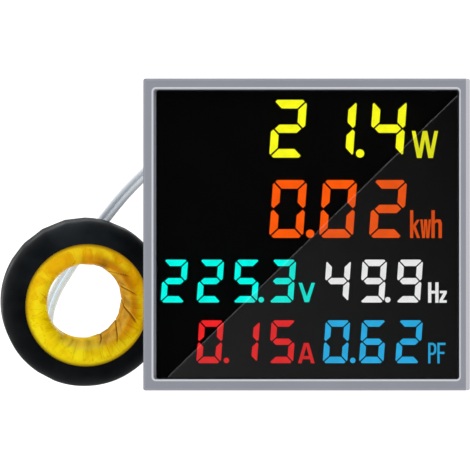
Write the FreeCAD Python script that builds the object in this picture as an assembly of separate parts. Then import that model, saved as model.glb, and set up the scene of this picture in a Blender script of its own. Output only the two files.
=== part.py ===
import FreeCAD, Part
import math
import os
from FreeCAD import Placement, Rotation, Vector

# A panel power meter with a ring current transformer on a short twin lead, lying on its back.
# Millimetres. The origin is the middle of the bezel's rear seating plane, +Z looks out of the
# display, +X is the display's right and +Y its top.

# Bezel: a frame with a bevelled outer edge, a bright inner lip and a pocket behind
bezel_width = 78.0
bezel_height = 74.5
bezel_depth = 4.0
bezel_corner = 0.5
edge_bevel = 0.45
right_edge_bevel = 1.0
edge_bevel_depth = 0.5
side_border = 2.55
top_border = 2.7
window_corner = 0.65
lip_bevel = 0.35
left_ledge_width = 0.5
left_ledge_drop = 0.5
rim_wall = 2.0
pocket_corner = 1.1

# How far a cutting or joining shape reaches past a face, so that no skin is left
reach_past = 0.1

# Lens and black mask plate
lens_thickness = 1.0
lens_recess = 0.9
lens_bevel = 0.35
lens_fit = 0.05
mask_thickness = 1.0
mask_fit = 0.05

# Reflector block, heat-staked to the display board
reflector_depth = 6.5
reflector_fit = 0.1
diffuser_depth = 4.2
peg_radius = 1.2
peg_head_radius = 1.8
peg_head_height = 0.6
peg_fit = 0.1
peg_from_side = 2.8

led_length = 1.0
led_width = 0.65
led_height = 0.5

# Circuit boards and the pins between them. Places on the boards are shares of the board's half
# width and half height, so that every part keeps its quarter of the board.
header_rows = ((-0.057, 0.827), (0.143, -0.797))
header_pins = 8
header_pitch = 2.54
header_pin_width = 0.64
header_hole_radius = 0.5
header_body_width = 2.4
header_tail = 1.2
board_thickness = 1.6
board_gap = 2.8
board_fit = 0.4
board_seat_height = 0.6

# Chips: length, width, height and legs on each side
leg_width = 0.4
leg_reach = 1.0
leg_thickness = 0.2
leg_stand = 0.1
driver_chip = (17.0, 7.0, 1.2, 12)
driver_chip_places = ((-0.514, 0.241), (0.4, 0.241))
metering_chip = (10.0, 5.0, 1.2, 8)
metering_chip_place = (-0.571, -0.361)
control_chip = (12.0, 7.0, 2.2, 10)
control_chip_place = (0.057, 0.421)

# Tall parts on the main board. The tallest two are as high as the case allows, less some air.
film_cap = (18.0, 8.5)
film_cap_air = 3.1
film_cap_place = (0.157, -0.632)
rectifier_size = (8.4, 6.4)
rectifier_height = 3.4
rectifier_place = (0.286, -0.241)
crystal_size = (10.2, 3.7)
crystal_height = 3.5
crystal_place = (0.057, 0.707)
hanging_corner = 0.6
main_can_radius = 5.0
main_can_air = 2.6
main_can_place = (0.771, -0.361)
small_cans = ((0.771, 0.015, 4.0, 12.0), (0.471, 0.09, 3.2, 11.0))
electrolytic_foot = 0.8
electrolytic_foot_inset = 0.25
varistor_radius = 5.5
varistor_thickness = 4.0
varistor_place = (-0.229, -0.511)
varistor_standoff = 2.0
varistor_leg_spread = 5.0
fuse_radius = 1.8
fuse_length = 9.5
fuse_place = (0.531, -0.559)
fuse_standoff = 0.6
resistor_radius = 1.2
resistor_length = 6.4
resistor_count = 5
resistor_pitch = 3.6
resistor_first_place = (-0.286, 0.06)
resistor_standoff = 0.3
axial_bend = 1.2
component_wire = 0.35

# Rear case: a tub with a shallow bay at the left for the terminals
case_fit = 0.1
case_wall = 1.5
case_corner = 1.0
case_depth = 31.0
case_ease = 0.6
bay_room = 1.0
rim_bump_height = 0.3
rim_bump_length = 9.0
rim_bump_width = 0.9
rim_bump_z = 0.1
rim_bump_fit = 0.08
rim_bump_x = 22.0
vent_count = 6
vent_width = 1.6
vent_pitch = 4.0
vent_from_bay = 2.0
vent_from_floor = 2.0
seat_rib_width = 2.0
seat_rib_from_top = 4.0
seat_rib_from_block = 1.0

# Barbs that hold the meter behind a panel
tongue_width = 12.0
tongue_thickness = 1.3
tongue_length = 10.8
panel_thickness = 2.2
tongue_splay = 7.0
tongue_side_fit = 0.15
tongue_root_fit = 0.05

# Board screws
screw_boss_radius = 3.2
board_screw_radius = 1.3
board_screw_length = 8.0
board_screw_head_radius = 2.4
board_screw_head_height = 1.5
board_screw_slot = 0.7
board_screw_slot_reach = 1.6
board_screw_slot_depth = 0.8
screw_fit = 0.05
pilot_spare = 0.5
screw_from_bay = 5.5
screw_from_side = 4.0
screw_from_end = 3.95

# Terminal block, its screws turn about Z with their heads at the rear
pole_count = 4
pole_pitch = 5.08
block_from_side = 9.9
first_pole_from_top = 25.63
block_depth = 10.0
block_height = 11.0
block_fit = 0.15
block_rear_wall = 2.0
pole_from_mouth = 4.4
pole_cavity_width = 4.2
pole_cavity_start = 1.9
pole_cavity_end = 8.3
pole_cavity_floor = 10.4
mouth_depth = 0.6
mouth_flare = 0.35
entry_width = 3.6
entry_low = 5.9
entry_high = 8.8
screw_bore_radius = 2.0
terminal_head_radius = 1.85
terminal_head_start = 0.4
terminal_head_height = 1.6
terminal_slot_width = 0.6
terminal_slot_depth = 0.7
terminal_shank_radius = 1.25
thread_fit = 0.05
thread_pitch = 0.45
clamp_turns = 10.0 / 3.0
cage_width = 3.9
cage_length = 3.8
cage_side_wall = 0.6
cage_nut_wall = 1.4
cage_nut_start = 3.6
cage_opening = 4.2
cage_lower_wall = 1.0
bar_width = 2.2
bar_thickness = 0.8
bar_start = 6.0
bar_side_fit = 0.2
bar_fit = 0.1
bar_pin_width = 1.2
bar_pin_length = 2.5

# Reset button over a small push switch
button_place = (0.5714, 0.6617)
button_radius = 1.8
button_fit = 0.1
button_recess = 0.4
button_travel = 0.25
button_stem_radius = 1.4
button_collar_radius = 2.5
button_collar_height = 0.8
guide_radius = 3.7
guide_height = 5.5
guide_fit = 0.15
button_collar_gap = 0.1
switch_size = 6.0
switch_corner = 0.4
switch_height = 3.5
actuator_radius = 1.7
actuator_fit = 0.1
actuator_height = 1.7
actuator_sunk = 0.2
actuator_room = 0.3

# Current transformer: its own frame has +Z through the window and its rear face at 0
ct_outer_radius = 20.5
ct_window_radius = 9.38
ct_thickness = 13.5
ct_sleeve_edge_radius = 15.04
ct_sleeve_thickness = 0.95
ct_sleeve_round = 4.2
ct_tape_inset = 0.7
ct_tape_round = 3.0
ct_tape_thickness = 0.6
ct_winding_thickness = 2.1
ct_core_round = 0.3
ct_sleeve_lip = 0.25
ct_from_case = 17.9
ct_from_first_pole = -23.22
ct_yaw = 7.5
ct_pitch = 7.5
ct_behind_bay = 12.6

# Twin lead from the transformer's boot to the two upper poles
strand_diameter = 1.45
strand_gap = 0.02
boot_angle = 2.0
boot_radius = 15.2
boot_length = 5.0
boot_width = 5.0
boot_height = 2.0
boot_corner = 0.6
lead_first_run = 4.0
tail_first_run = 3.8
tail_last_run = 2.2
bare_diameter = 0.8
bare_length = 4.6
bare_fit = 0.05
tail_in_block = 1.3
bend_share = 0.45

# Readings: two sizes of slanted digit. They are drawn in millimetres from the window's middle
# and then fitted between these margins, so that they stretch with the window.
slant = math.radians(4.2)
left_margin = 1.5
right_margin = 2.95
top_margin = 2.35
bottom_margin = 3.75


class DigitStyle:
    def __init__(self, width, height, bar, post, middle, gap, corner, notch, point_radius):
        self.width = width
        self.height = height
        self.bar = bar
        self.post = post
        self.middle = middle
        self.gap = gap
        self.corner = corner
        self.notch = notch
        self.point_radius = point_radius


large = DigitStyle(8.1, 13.83, 2.08, 1.9, 1.98, 0.4, 1.0, 0.72, 1.0)
small = DigitStyle(5.85, 10.25, 1.54, 1.4, 1.49, 0.32, 0.7, 0.5, 0.66)


class Reading:
    """One line of digits: its style, lower left corner, digit pitch, text and decimal point."""

    def __init__(self, name, style, left, bottom, pitch, text, point_offset):
        self.name = name
        self.style = style
        self.left = left
        self.bottom = bottom
        self.pitch = pitch
        self.text = text
        self.point_offset = point_offset


readings = (
    Reading("power", large, -32.85, 18.37, 11.94, "  21.4", 9.83),
    Reading("energy", large, -32.85, -0.8, 11.94, "  0.02", 9.83),
    Reading("voltage", small, -34.9, -16.26, 8.61, "225.3", 6.85),
    Reading("frequency", small, 4.05, -16.26, 8.6, "49.9", 6.75),
    Reading("current", small, -35.0, -30.75, 8.64, " 0.15", 7.2),
    Reading("power_factor", small, 3.85, -30.75, 8.67, "0.62", 7.2),
)

segments_of = {
    "0": "abcdef", "1": "bc", "2": "abged", "3": "abgcd", "4": "fgbc",
    "5": "afgcd", "6": "afgedc", "9": "abcdfg", " ": "",
}

# The order from the top: the rows that the reflector's pegs stand between
upper_peg_rows = ("energy", "power")
lower_peg_rows = ("current", "voltage")

# Levels along Z that follow from the sizes above
lens_front = bezel_depth - lens_recess
mask_front = lens_front - lens_thickness
mask_rear = mask_front - mask_thickness
reflector_rear = mask_rear - reflector_depth
display_board_rear = reflector_rear - board_thickness
main_board_front = display_board_rear - board_gap
main_board_rear = main_board_front - board_thickness
bay_floor_z = main_board_rear - board_seat_height
bay_z = bay_floor_z - case_wall
rear_z = -case_depth
rear_floor_z = rear_z + case_wall
block_rear_z = main_board_rear - block_height
tongue_root_z = -panel_thickness - tongue_length
bare_wire_z = block_rear_z + bar_start + bar_thickness + bare_diameter / 2 + bare_fit
tall_room = main_board_rear - rear_floor_z

# Widths that follow from the sizes above
window_width = bezel_width - 2 * side_border
window_height = bezel_height - 2 * top_border
pocket_width = bezel_width - 2 * rim_wall
pocket_height = bezel_height - 2 * rim_wall
case_half_x = pocket_width / 2 - case_fit
case_half_y = pocket_height / 2 - case_fit
cavity_half_x = case_half_x - case_wall
cavity_half_y = case_half_y - case_wall
board_half_x = cavity_half_x - board_fit
board_half_y = cavity_half_y - board_fit
clamp_travel = clamp_turns * thread_pitch

# Places that follow from the sizes above
block_left = block_from_side - case_half_x
block_right = block_left + block_depth
bay_edge_x = block_right + bay_room
first_pole_y = board_half_y - first_pole_from_top
pole_x = block_left + pole_from_mouth
pole_cavity_left = block_left + pole_cavity_start
pole_cavity_right = block_left + pole_cavity_end
bar_left = pole_cavity_left + bar_side_fit
bar_right = pole_cavity_right - bar_side_fit
button_x = button_place[0] * board_half_x
button_y = button_place[1] * board_half_y
ct_center_x = -case_half_x - ct_from_case
ct_center_y = first_pole_y + ct_from_first_pole
ct_rear_z = bay_z - ct_behind_bay

made = {}


def keep(name, *solids):
    made.setdefault(name, []).extend(solids)


def outline(x0, x1, y0, y1, radius, z):
    """A rectangle with round corners as a closed wire."""
    k = radius * (1 - math.sqrt(0.5))
    corners = (
        ((x0 + radius, y0), (x0 + k, y0 + k), (x0, y0 + radius)),
        ((x0, y1 - radius), (x0 + k, y1 - k), (x0 + radius, y1)),
        ((x1 - radius, y1), (x1 - k, y1 - k), (x1, y1 - radius)),
        ((x1, y0 + radius), (x1 - k, y0 + k), (x1 - radius, y0)),
    )
    edges = []
    for number, corner in enumerate(corners):
        start, middle, end = [Vector(x, y, z) for x, y in corner]
        following = Vector(*corners[(number + 1) % 4][0], z)
        edges.append(Part.Arc(start, middle, end).toShape())
        edges.append(Part.LineSegment(end, following).toShape())
    return Part.Wire(edges)


def slab(x0, x1, y0, y1, radius, z0, z1):
    return Part.Face(outline(x0, x1, y0, y1, radius, z0)).extrude(Vector(0, 0, z1 - z0))


def centred_slab(width, height, radius, z0, z1):
    return slab(-width / 2, width / 2, -height / 2, height / 2, radius, z0, z1)


def taper(low, high):
    """A solid between two wires with straight walls."""
    return Part.makeLoft([low, high], True, True)


def box(x0, x1, y0, y1, z0, z1):
    return Part.makeBox(x1 - x0, y1 - y0, z1 - z0, Vector(x0, y0, z0))


def post(x, y, radius, z0, z1):
    return Part.makeCylinder(radius, z1 - z0, Vector(x, y, z0))


def on_board(place):
    """A place on a board from its shares of the board's half width and half height."""
    return place[0] * board_half_x, place[1] * board_half_y


def prism(points, z0, z1):
    corners = [Vector(x, y, z0) for x, y in points]
    return Part.Face(Part.makePolygon(corners + corners[:1])).extrude(Vector(0, 0, z1 - z0))


# Front bezel
def front_bezel():
    half_x, half_y = bezel_width / 2, bezel_height / 2
    bevel_z = bezel_depth - edge_bevel_depth
    body = centred_slab(bezel_width, bezel_height, bezel_corner, 0, bevel_z)
    front = taper(
        outline(-half_x, half_x, -half_y, half_y, bezel_corner, bevel_z),
        outline(
            -half_x + edge_bevel, half_x - right_edge_bevel,
            -half_y + edge_bevel, half_y - edge_bevel, bezel_corner / 2, bezel_depth,
        ),
    )
    body = body.fuse(front)
    window_half_x, window_half_y = window_width / 2, window_height / 2
    lip_z = bezel_depth - lip_bevel
    grown = lip_bevel + reach_past
    window = slab(
        -window_half_x, window_half_x, -window_half_y, window_half_y,
        window_corner, lens_front - left_ledge_drop, bezel_depth,
    )
    lip = taper(
        outline(-window_half_x, window_half_x, -window_half_y, window_half_y,
                window_corner, lip_z),
        outline(-window_half_x - grown, window_half_x + grown, -window_half_y - grown,
                window_half_y + grown, window_corner + grown, lip_z + grown),
    )
    below_ledge = slab(
        -window_half_x + left_ledge_width, window_half_x, -window_half_y, window_half_y,
        window_corner, mask_front, bezel_depth,
    )
    pocket = centred_slab(pocket_width, pocket_height, pocket_corner, 0, mask_front)
    body = body.cut(window).cut(lip).cut(below_ledge).cut(pocket)
    for bump in rim_bumps(rim_bump_fit):
        body = body.cut(bump)
    keep("front_bezel", body.removeSplitter())


def rim_bumps(grown):
    """The four ridges on the case's rim, or the grooves for them when grown by the fit."""
    made_bumps = []
    reach = rim_bump_height + grown
    half = rim_bump_width / 2 + grown
    length = rim_bump_length + 2 * grown
    for side in (-1, 1):
        for x in (-rim_bump_x, rim_bump_x):
            start = x - length / 2
            root = side * case_half_y
            inside = root - side * reach_past
            section = [Vector(start, y, z) for y, z in (
                (inside, rim_bump_z - half), (root, rim_bump_z - half),
                (root + side * (reach + case_fit), rim_bump_z),
                (root, rim_bump_z + half), (inside, rim_bump_z + half),
            )]
            ridge = Part.Face(Part.makePolygon(section + section[:1]))
            made_bumps.append(ridge.extrude(Vector(length, 0, 0)))
    return made_bumps


# Lens, glued in the window on top of the mask
def display_lens():
    x0 = -window_width / 2 + left_ledge_width + lens_fit
    x1 = window_width / 2 - lens_fit
    half_y = window_height / 2 - lens_fit
    bevel_z = lens_front - lens_bevel
    body = slab(x0, x1, -half_y, half_y, window_corner, mask_front, bevel_z)
    top = taper(
        outline(x0, x1, -half_y, half_y, window_corner, bevel_z),
        outline(x0 + lens_bevel, x1 - lens_bevel, -half_y + lens_bevel, half_y - lens_bevel,
                window_corner - lens_bevel / 2, lens_front),
    )
    keep("display_lens", body.fuse(top).removeSplitter())


# Seven segments of a digit, outlines anticlockwise from the lower left corner of the cell
def mirror_up(points, style):
    return [(u, style.height - v) for u, v in points]


def mirror_right(points, style):
    return [(style.width - u, v) for u, v in points]


def segment_outlines(style):
    """Bars and posts meet on 45 degree mitres with a gap, and the digit's corners are cut."""
    shift = style.gap / math.sqrt(2)
    step = style.bar - style.post
    top = style.height
    middle = style.height / 2
    bar_y = (style.corner + step - shift) / 2
    bar_u = style.corner - bar_y
    post_y = (style.corner + step + shift) / 2
    post_u = style.corner - post_y
    tip = style.post - style.middle / 2
    bar_top = [
        (style.post + shift, top - style.bar),
        (bar_u, top - bar_y),
        (style.corner, top),
        (style.width - style.corner, top),
        (style.width - bar_u, top - bar_y),
        (style.width - style.post - shift, top - style.bar),
    ]
    post_left = [
        (style.post, top - style.bar - shift),
        (post_u, top - post_y),
        (0.0, top - style.corner),
        (0.0, middle + style.notch),
        (tip - 2 * shift + style.gap / 2, middle + style.gap / 2),
        (style.post, middle + style.middle / 2 + 2 * shift),
    ]
    bar_middle = [
        (tip, middle),
        (style.post, middle + style.middle / 2),
        (style.width - style.post, middle + style.middle / 2),
        (style.width - tip, middle),
        (style.width - style.post, middle - style.middle / 2),
        (style.post, middle - style.middle / 2),
    ]
    return {
        "a": bar_top,
        "b": mirror_right(post_left, style),
        "c": mirror_right(mirror_up(post_left, style), style),
        "d": mirror_up(bar_top, style),
        "e": mirror_up(post_left, style),
        "f": post_left,
        "g": bar_middle,
    }


def slanted(points, left, bottom):
    return [(left + u + v * math.tan(slant), bottom + v) for u, v in points]


def lit_and_unlit(reading):
    """Outlines of the lit segments, of the dark ones, and the centre of the decimal point."""
    shapes = segment_outlines(reading.style)
    lit, unlit, points = [], [], []
    left = reading.left
    for character in reading.text:
        if character == ".":
            points.append((left - reading.pitch + reading.point_offset,
                           reading.bottom + reading.style.point_radius))
            continue
        for name, shape in shapes.items():
            group = lit if name in segments_of[character] else unlit
            group.append(slanted(shape, left, reading.bottom))
        left += reading.pitch
    return lit, unlit, points


# Unit letters as plain strokes, in the cell's own millimetres
def letter_w(width, height, stroke, flat):
    """Four slanted strokes with flat feet and a flat middle peak."""
    quarter = (width - stroke) / 4
    inner = height * 0.32
    return [
        (0.0, height), (stroke, height), (quarter + stroke / 2, inner),
        (2 * quarter + (stroke - flat) / 2, height), (2 * quarter + (stroke + flat) / 2, height),
        (3 * quarter + stroke / 2, inner), (width - stroke, height), (width, height),
        (3 * quarter + (stroke + flat) / 2, 0.0), (3 * quarter + (stroke - flat) / 2, 0.0),
        (2 * quarter + stroke / 2, height * 0.68),
        (quarter + (stroke + flat) / 2, 0.0), (quarter + (stroke - flat) / 2, 0.0),
    ]


def letter_v(width, height, stroke, flat):
    return [
        (0.0, height), (stroke, height), (width / 2, height * 0.3), (width - stroke, height),
        (width, height), ((width + flat) / 2, 0.0), ((width - flat) / 2, 0.0),
    ]


def letter_k(width, height, stroke):
    arm = height * 0.66
    return [
        (0.0, 0.0), (stroke, 0.0), (stroke, height * 0.28), (stroke * 1.15, height * 0.32),
        (width - stroke, 0.0), (width, 0.0), (stroke * 1.75, height * 0.42),
        (width - 0.1, arm), (width - stroke, arm), (stroke, height * 0.47),
        (stroke, height), (0.0, height),
    ]


def letter_h(width, height, stroke):
    arch = height * 0.67
    return [
        (0.0, 0.0), (stroke, 0.0), (stroke, height * 0.5), (stroke + 0.25, height * 0.56),
        (width - stroke - 0.15, height * 0.56), (width - stroke, height * 0.5),
        (width - stroke, 0.0), (width, 0.0), (width, height * 0.55),
        (width - 0.35, arch), (stroke + 0.3, arch), (stroke, height * 0.61),
        (stroke, height), (0.0, height),
    ]


def letter_capital_h(width, height, stroke, bar):
    low = (height - bar) / 2 + 0.1
    return [
        (0.0, 0.0), (stroke, 0.0), (stroke, low), (width - stroke, low), (width - stroke, 0.0),
        (width, 0.0), (width, height), (width - stroke, height), (width - stroke, low + bar),
        (stroke, low + bar), (stroke, height), (0.0, height),
    ]


def letter_z(width, height, stroke):
    return [
        (0.0, 0.0), (width, 0.0), (width, stroke), (stroke * 1.35, stroke),
        (width, height - stroke), (width, height), (0.1, height), (0.1, height - stroke),
        (width - stroke * 1.4, height - stroke), (0.0, stroke),
    ]


def letter_a(width, height, stroke, flat):
    """The two legs and the bar; the eye above the bar is cut as a triangle of its own."""
    bar_low, bar_high = height * 0.2, height * 0.36
    lean = (width - flat) / 2 / height
    return [
        (0.0, 0.0), (stroke, 0.0), (stroke + bar_low * lean * 0.9, bar_low),
        (width - stroke - bar_low * lean * 0.9, bar_low), (width - stroke, 0.0), (width, 0.0),
        ((width + flat) / 2, height), ((width - flat) / 2, height),
    ], [
        (stroke + bar_high * lean, bar_high), (width - stroke - bar_high * lean, bar_high),
        (width / 2, height * 0.82),
    ]


def letter_p(width, height, stroke):
    """A stem with a bowl; the bowl's eye is a shape of its own."""
    low = height * 0.41
    return [
        (0.0, 0.0), (stroke, 0.0), (stroke, low), (width - 0.7, low), (width - 0.15, low + 0.5),
        (width, low + 1.1), (width, height - 1.0), (width - 0.2, height - 0.4),
        (width - 0.7, height), (0.0, height),
    ], [
        (stroke, low + stroke), (width - 0.8, low + stroke), (width - stroke, low + stroke + 0.5),
        (width - stroke, height - stroke - 0.5), (width - 0.8, height - stroke),
        (stroke, height - stroke),
    ]


def letter_f(width, height, stroke):
    bar = height * 0.455
    return [
        (0.0, 0.0), (stroke, 0.0), (stroke, bar), (width - 0.25, bar),
        (width - 0.25, bar + stroke), (stroke, bar + stroke), (stroke, height - stroke),
        (width, height - stroke), (width, height), (0.0, height),
    ]


def unit_letters():
    """Each reading's unit: name, left edge, bottom edge and outline, or outline with its eye."""
    return (
        ("power", 25.15, 18.3, letter_w(6.3, 6.45, 0.88, 1.1)),
        ("energy", 24.75, -0.85, letter_k(2.4, 6.65, 0.76)),
        ("energy", 27.2, -0.85, letter_w(2.55, 4.45, 0.56, 0.68)),
        ("energy", 29.85, -0.85, letter_h(2.5, 6.65, 0.8)),
        ("voltage", -1.9, -16.17, letter_v(3.92, 4.62, 0.85, 1.05)),
        ("frequency", 29.05, -16.31, letter_capital_h(2.5, 4.87, 0.78, 0.7)),
        ("frequency", 31.75, -16.31, letter_z(1.75, 2.87, 0.6)),
        ("current", -2.05, -30.78, letter_a(4.0, 4.87, 0.88, 1.2)),
        ("power_factor", 29.08, -30.8, letter_p(1.95, 4.92, 0.53)),
        ("power_factor", 31.27, -30.8, letter_f(1.93, 4.92, 0.53)),
    )


class Fit:
    """Stretches the drawn readings so that they fill the window up to its margins."""

    def __init__(self):
        drawn = [point for reading in readings for shape in sum(lit_and_unlit(reading)[:2], [])
                 for point in shape]
        for name, left, bottom, shape in unit_letters():
            body = shape[0] if isinstance(shape, tuple) else shape
            drawn += [(left + u, bottom + v) for u, v in body]
        self.low = [min(point[axis] for point in drawn) for axis in (0, 1)]
        high = [max(point[axis] for point in drawn) for axis in (0, 1)]
        room = (window_width - left_margin - right_margin,
                window_height - top_margin - bottom_margin)
        self.start = (left_margin - window_width / 2, bottom_margin - window_height / 2)
        self.stretch = [space / (end - begin) for space, end, begin in zip(room, high, self.low)]
        print("readings stretched by", [round(factor, 4) for factor in self.stretch])

    def point(self, x, y):
        return tuple(self.start[axis] + (value - self.low[axis]) * self.stretch[axis]
                     for axis, value in enumerate((x, y)))

    def outline(self, points, left=0.0, bottom=0.0):
        return [self.point(left + x, bottom + y) for x, y in points]


def letter_solid(fit, left, bottom, shape, z0, z1):
    if isinstance(shape, tuple):
        body, eye = shape
        outer = prism(fit.outline(body, left, bottom), z0, z1)
        return outer.cut(prism(fit.outline(eye, left, bottom), z0, z1))
    return prism(fit.outline(shape, left, bottom), z0, z1)


def peg_places(fit):
    """Two pegs on each side, level with the gap between two rows of readings."""
    by_name = {reading.name: reading for reading in readings}
    peg_x = cavity_half_x - reflector_fit - peg_from_side
    for low_name, high_name in (upper_peg_rows, lower_peg_rows):
        low = by_name[low_name]
        middle = (low.bottom + low.style.height + by_name[high_name].bottom) / 2
        for side in (-1, 1):
            yield side * peg_x, fit.point(0.0, middle)[1]


# Diffusers, the wells and windows that they fill, and one emitter under each
def led_chip(x, y, length, scale):
    half_x, half_y = length * scale / 2, led_width * scale / 2
    return box(x - half_x, x + half_x, y - half_y, y + half_y, reflector_rear,
               reflector_rear + led_height)


def display_stack():
    diffuser_rear = mask_front - diffuser_depth
    fit = Fit()
    led_scale = min(1.0, *fit.stretch)
    wells = []
    for reading in readings:
        lit, unlit, points = lit_and_unlit(reading)
        lit = [fit.outline(shape) for shape in lit]
        unlit = [fit.outline(shape) for shape in unlit]
        node = reading.name + "_segments"
        for shape in lit:
            keep(node, prism(shape, diffuser_rear, mask_front))
        for shape in unlit:
            keep("unlit_segments", prism(shape, diffuser_rear, mask_front))
        for shape in lit + unlit:
            wells.append(prism(shape, reflector_rear, mask_front))
            x = sum(u for u, v in shape) / len(shape)
            y = sum(v for u, v in shape) / len(shape)
            keep("led_chips", led_chip(x, y, led_length, led_scale))
        radius = reading.style.point_radius * min(fit.stretch)
        for x, y in fit.outline(points):
            keep(node, post(x, y, radius, diffuser_rear, mask_front))
            wells.append(post(x, y, radius, reflector_rear, mask_front))
            keep("led_chips", led_chip(x, y, led_width, led_scale))
    for name, left, bottom, shape in unit_letters():
        letter = letter_solid(fit, left, bottom, shape, diffuser_rear, mask_front)
        keep(name + "_segments", letter)
        wells.append(letter)
    plate = centred_slab(pocket_width - 2 * mask_fit, pocket_height - 2 * mask_fit,
                         pocket_corner - mask_fit, mask_rear, mask_front)
    keep("display_mask", plate.cut(Part.makeCompound(wells)))
    block = centred_slab(2 * (cavity_half_x - reflector_fit), 2 * (cavity_half_y - reflector_fit),
                         case_corner / 2, reflector_rear, mask_rear)
    block = block.cut(Part.makeCompound(wells))
    display = centred_slab(2 * board_half_x, 2 * board_half_y, case_corner / 2,
                           display_board_rear, reflector_rear)
    for x, y in peg_places(fit):
        block = block.fuse(post(x, y, peg_radius, display_board_rear, reflector_rear))
        block = block.fuse(post(x, y, peg_head_radius, display_board_rear - peg_head_height,
                                display_board_rear))
        display = display.cut(post(x, y, peg_radius + peg_fit, display_board_rear,
                                   reflector_rear))
    for x, y in header_places():
        display = display.cut(post(x, y, header_hole_radius, display_board_rear, reflector_rear))
    keep("display_reflector", block.removeSplitter())
    keep("display_board", display)


# Main board, pin headers, and the chips that lie flat on the boards
def header_places():
    for row in header_rows:
        x, y = on_board(row)
        for number in range(header_pins):
            yield x + number * header_pitch, y


def board_screw_places():
    """One screw in each corner; the left ones stand in the deep side of the case."""
    for y in (board_half_y - screw_from_end, screw_from_end - board_half_y):
        for x in (bay_edge_x + screw_from_bay, board_half_x - screw_from_side):
            yield x, y


def main_board():
    main = centred_slab(2 * board_half_x, 2 * board_half_y, case_corner / 2,
                        main_board_rear, main_board_front)
    for x, y in header_places():
        main = main.cut(post(x, y, header_hole_radius, main_board_rear, main_board_front))
    for x, y in board_screw_places():
        main = main.cut(post(x, y, board_screw_radius + 2 * screw_fit, main_board_rear,
                             main_board_front))
    for y in pole_rows():
        main = main.cut(pin_box(y, bar_fit, main_board_rear, main_board_front))
    keep("main_board", main)


def pin_headers():
    pin_half = header_pin_width / 2
    for row in header_rows:
        x, y = on_board(row)
        half = header_body_width / 2
        body = box(x - header_pitch / 2, x + (header_pins - 0.5) * header_pitch, y - half,
                   y + half, main_board_front, display_board_rear)
        for number in range(header_pins):
            pin_x = x + number * header_pitch
            pin = box(pin_x - pin_half, pin_x + pin_half, y - pin_half, y + pin_half,
                      main_board_rear - header_tail, reflector_rear)
            keep("header_pins", pin)
            body = body.cut(pin)
        keep("board_pin_headers", body)


def flat_chip(node, place, size, face_z, side):
    """A chip with gull legs along its two long sides, lying on a board face; side is the
    direction away from the board."""
    x, y = on_board(place)
    length, width, height, pins = size
    low, high = sorted((face_z + side * leg_stand, face_z + side * height))
    body = box(x - length / 2, x + length / 2, y - width / 2, y + width / 2, low, high)
    pitch = length / pins
    for number in range(pins):
        leg_x = x - length / 2 + (number + 0.5) * pitch
        for edge in (-1, 1):
            y0, y1 = sorted((y + edge * width / 2, y + edge * (width / 2 + leg_reach)))
            foot_low, foot_high = sorted((face_z, face_z + side * leg_thickness))
            body = body.fuse(box(leg_x - leg_width / 2, leg_x + leg_width / 2, y0, y1,
                                 foot_low, foot_high))
            rise_low, rise_high = sorted((face_z, face_z + side * height / 2))
            near = sorted((y + edge * width / 2, y + edge * (width / 2 + leg_thickness)))
            body = body.fuse(box(leg_x - leg_width / 2, leg_x + leg_width / 2, near[0], near[1],
                                 rise_low, rise_high))
    keep(node, body.removeSplitter())


def chips():
    for place in driver_chip_places:
        flat_chip("display_driver_chips", place, driver_chip, display_board_rear, -1)
    flat_chip("metering_chip", metering_chip_place, metering_chip, main_board_front, 1)
    flat_chip("control_chip", control_chip_place, control_chip, main_board_rear, -1)


# Tall parts that hang from the main board into the deep side of the case
def hanging_box(place, size, height):
    x, y = on_board(place)
    width, depth = size
    return slab(x - width / 2, x + width / 2, y - depth / 2, y + depth / 2, hanging_corner,
                main_board_rear - height, main_board_rear)


def wire_box(x, y, z0, z1):
    half = component_wire
    return box(x - half, x + half, y - half, y + half, z0, z1)


def lying_cylinder(x, y, radius, length, standoff):
    """An axial part along Y under the board, with its two wires bent up into it."""
    z = main_board_rear - standoff - radius
    half = component_wire
    body = Part.makeCylinder(radius, length, Vector(x, y - length / 2, z), Vector(0, 1, 0))
    for end in (-1, 1):
        wire_y = y + end * (length / 2 + axial_bend)
        y0, y1 = sorted((y + end * length / 2, wire_y + end * half))
        body = body.fuse(box(x - half, x + half, y0, y1, z - half, z + half))
        body = body.fuse(wire_box(x, wire_y, z, main_board_rear))
    return body.removeSplitter()


def varistor():
    x, y = on_board(varistor_place)
    z = main_board_rear - varistor_standoff - varistor_radius
    disc = Part.makeCylinder(varistor_radius, varistor_thickness,
                             Vector(x - varistor_thickness / 2, y, z), Vector(1, 0, 0))
    for side in (-1, 1):
        disc = disc.fuse(wire_box(x, y + side * varistor_leg_spread / 2, z, main_board_rear))
    return disc.removeSplitter()


def tall_parts():
    keep("film_capacitor", hanging_box(film_cap_place, film_cap, tall_room - film_cap_air))
    keep("rectifier", hanging_box(rectifier_place, rectifier_size, rectifier_height))
    keep("crystal", hanging_box(crystal_place, crystal_size, crystal_height))
    main_can = (*main_can_place, main_can_radius, tall_room - main_can_air)
    for share_x, share_y, radius, height in (main_can, *small_cans):
        x, y = on_board((share_x, share_y))
        can = post(x, y, radius, main_board_rear - height, main_board_rear - electrolytic_foot)
        foot = post(x, y, radius - electrolytic_foot_inset, main_board_rear - electrolytic_foot,
                    main_board_rear)
        keep("electrolytic_capacitors", can.fuse(foot))
    keep("varistor", varistor())
    keep("fuse_resistor", lying_cylinder(*on_board(fuse_place), fuse_radius, fuse_length,
                                         fuse_standoff))
    first_x, y = on_board(resistor_first_place)
    for number in range(resistor_count):
        keep("sampling_resistors", lying_cylinder(first_x + number * resistor_pitch, y,
                                                  resistor_radius, resistor_length,
                                                  resistor_standoff))


# Rear case
def pole_rows():
    return [first_pole_y + number * pole_pitch for number in range(pole_count)]


def block_span():
    """The terminal block's lower and upper ends."""
    return first_pole_y - pole_pitch / 2, first_pole_y + (pole_count - 0.5) * pole_pitch


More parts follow.
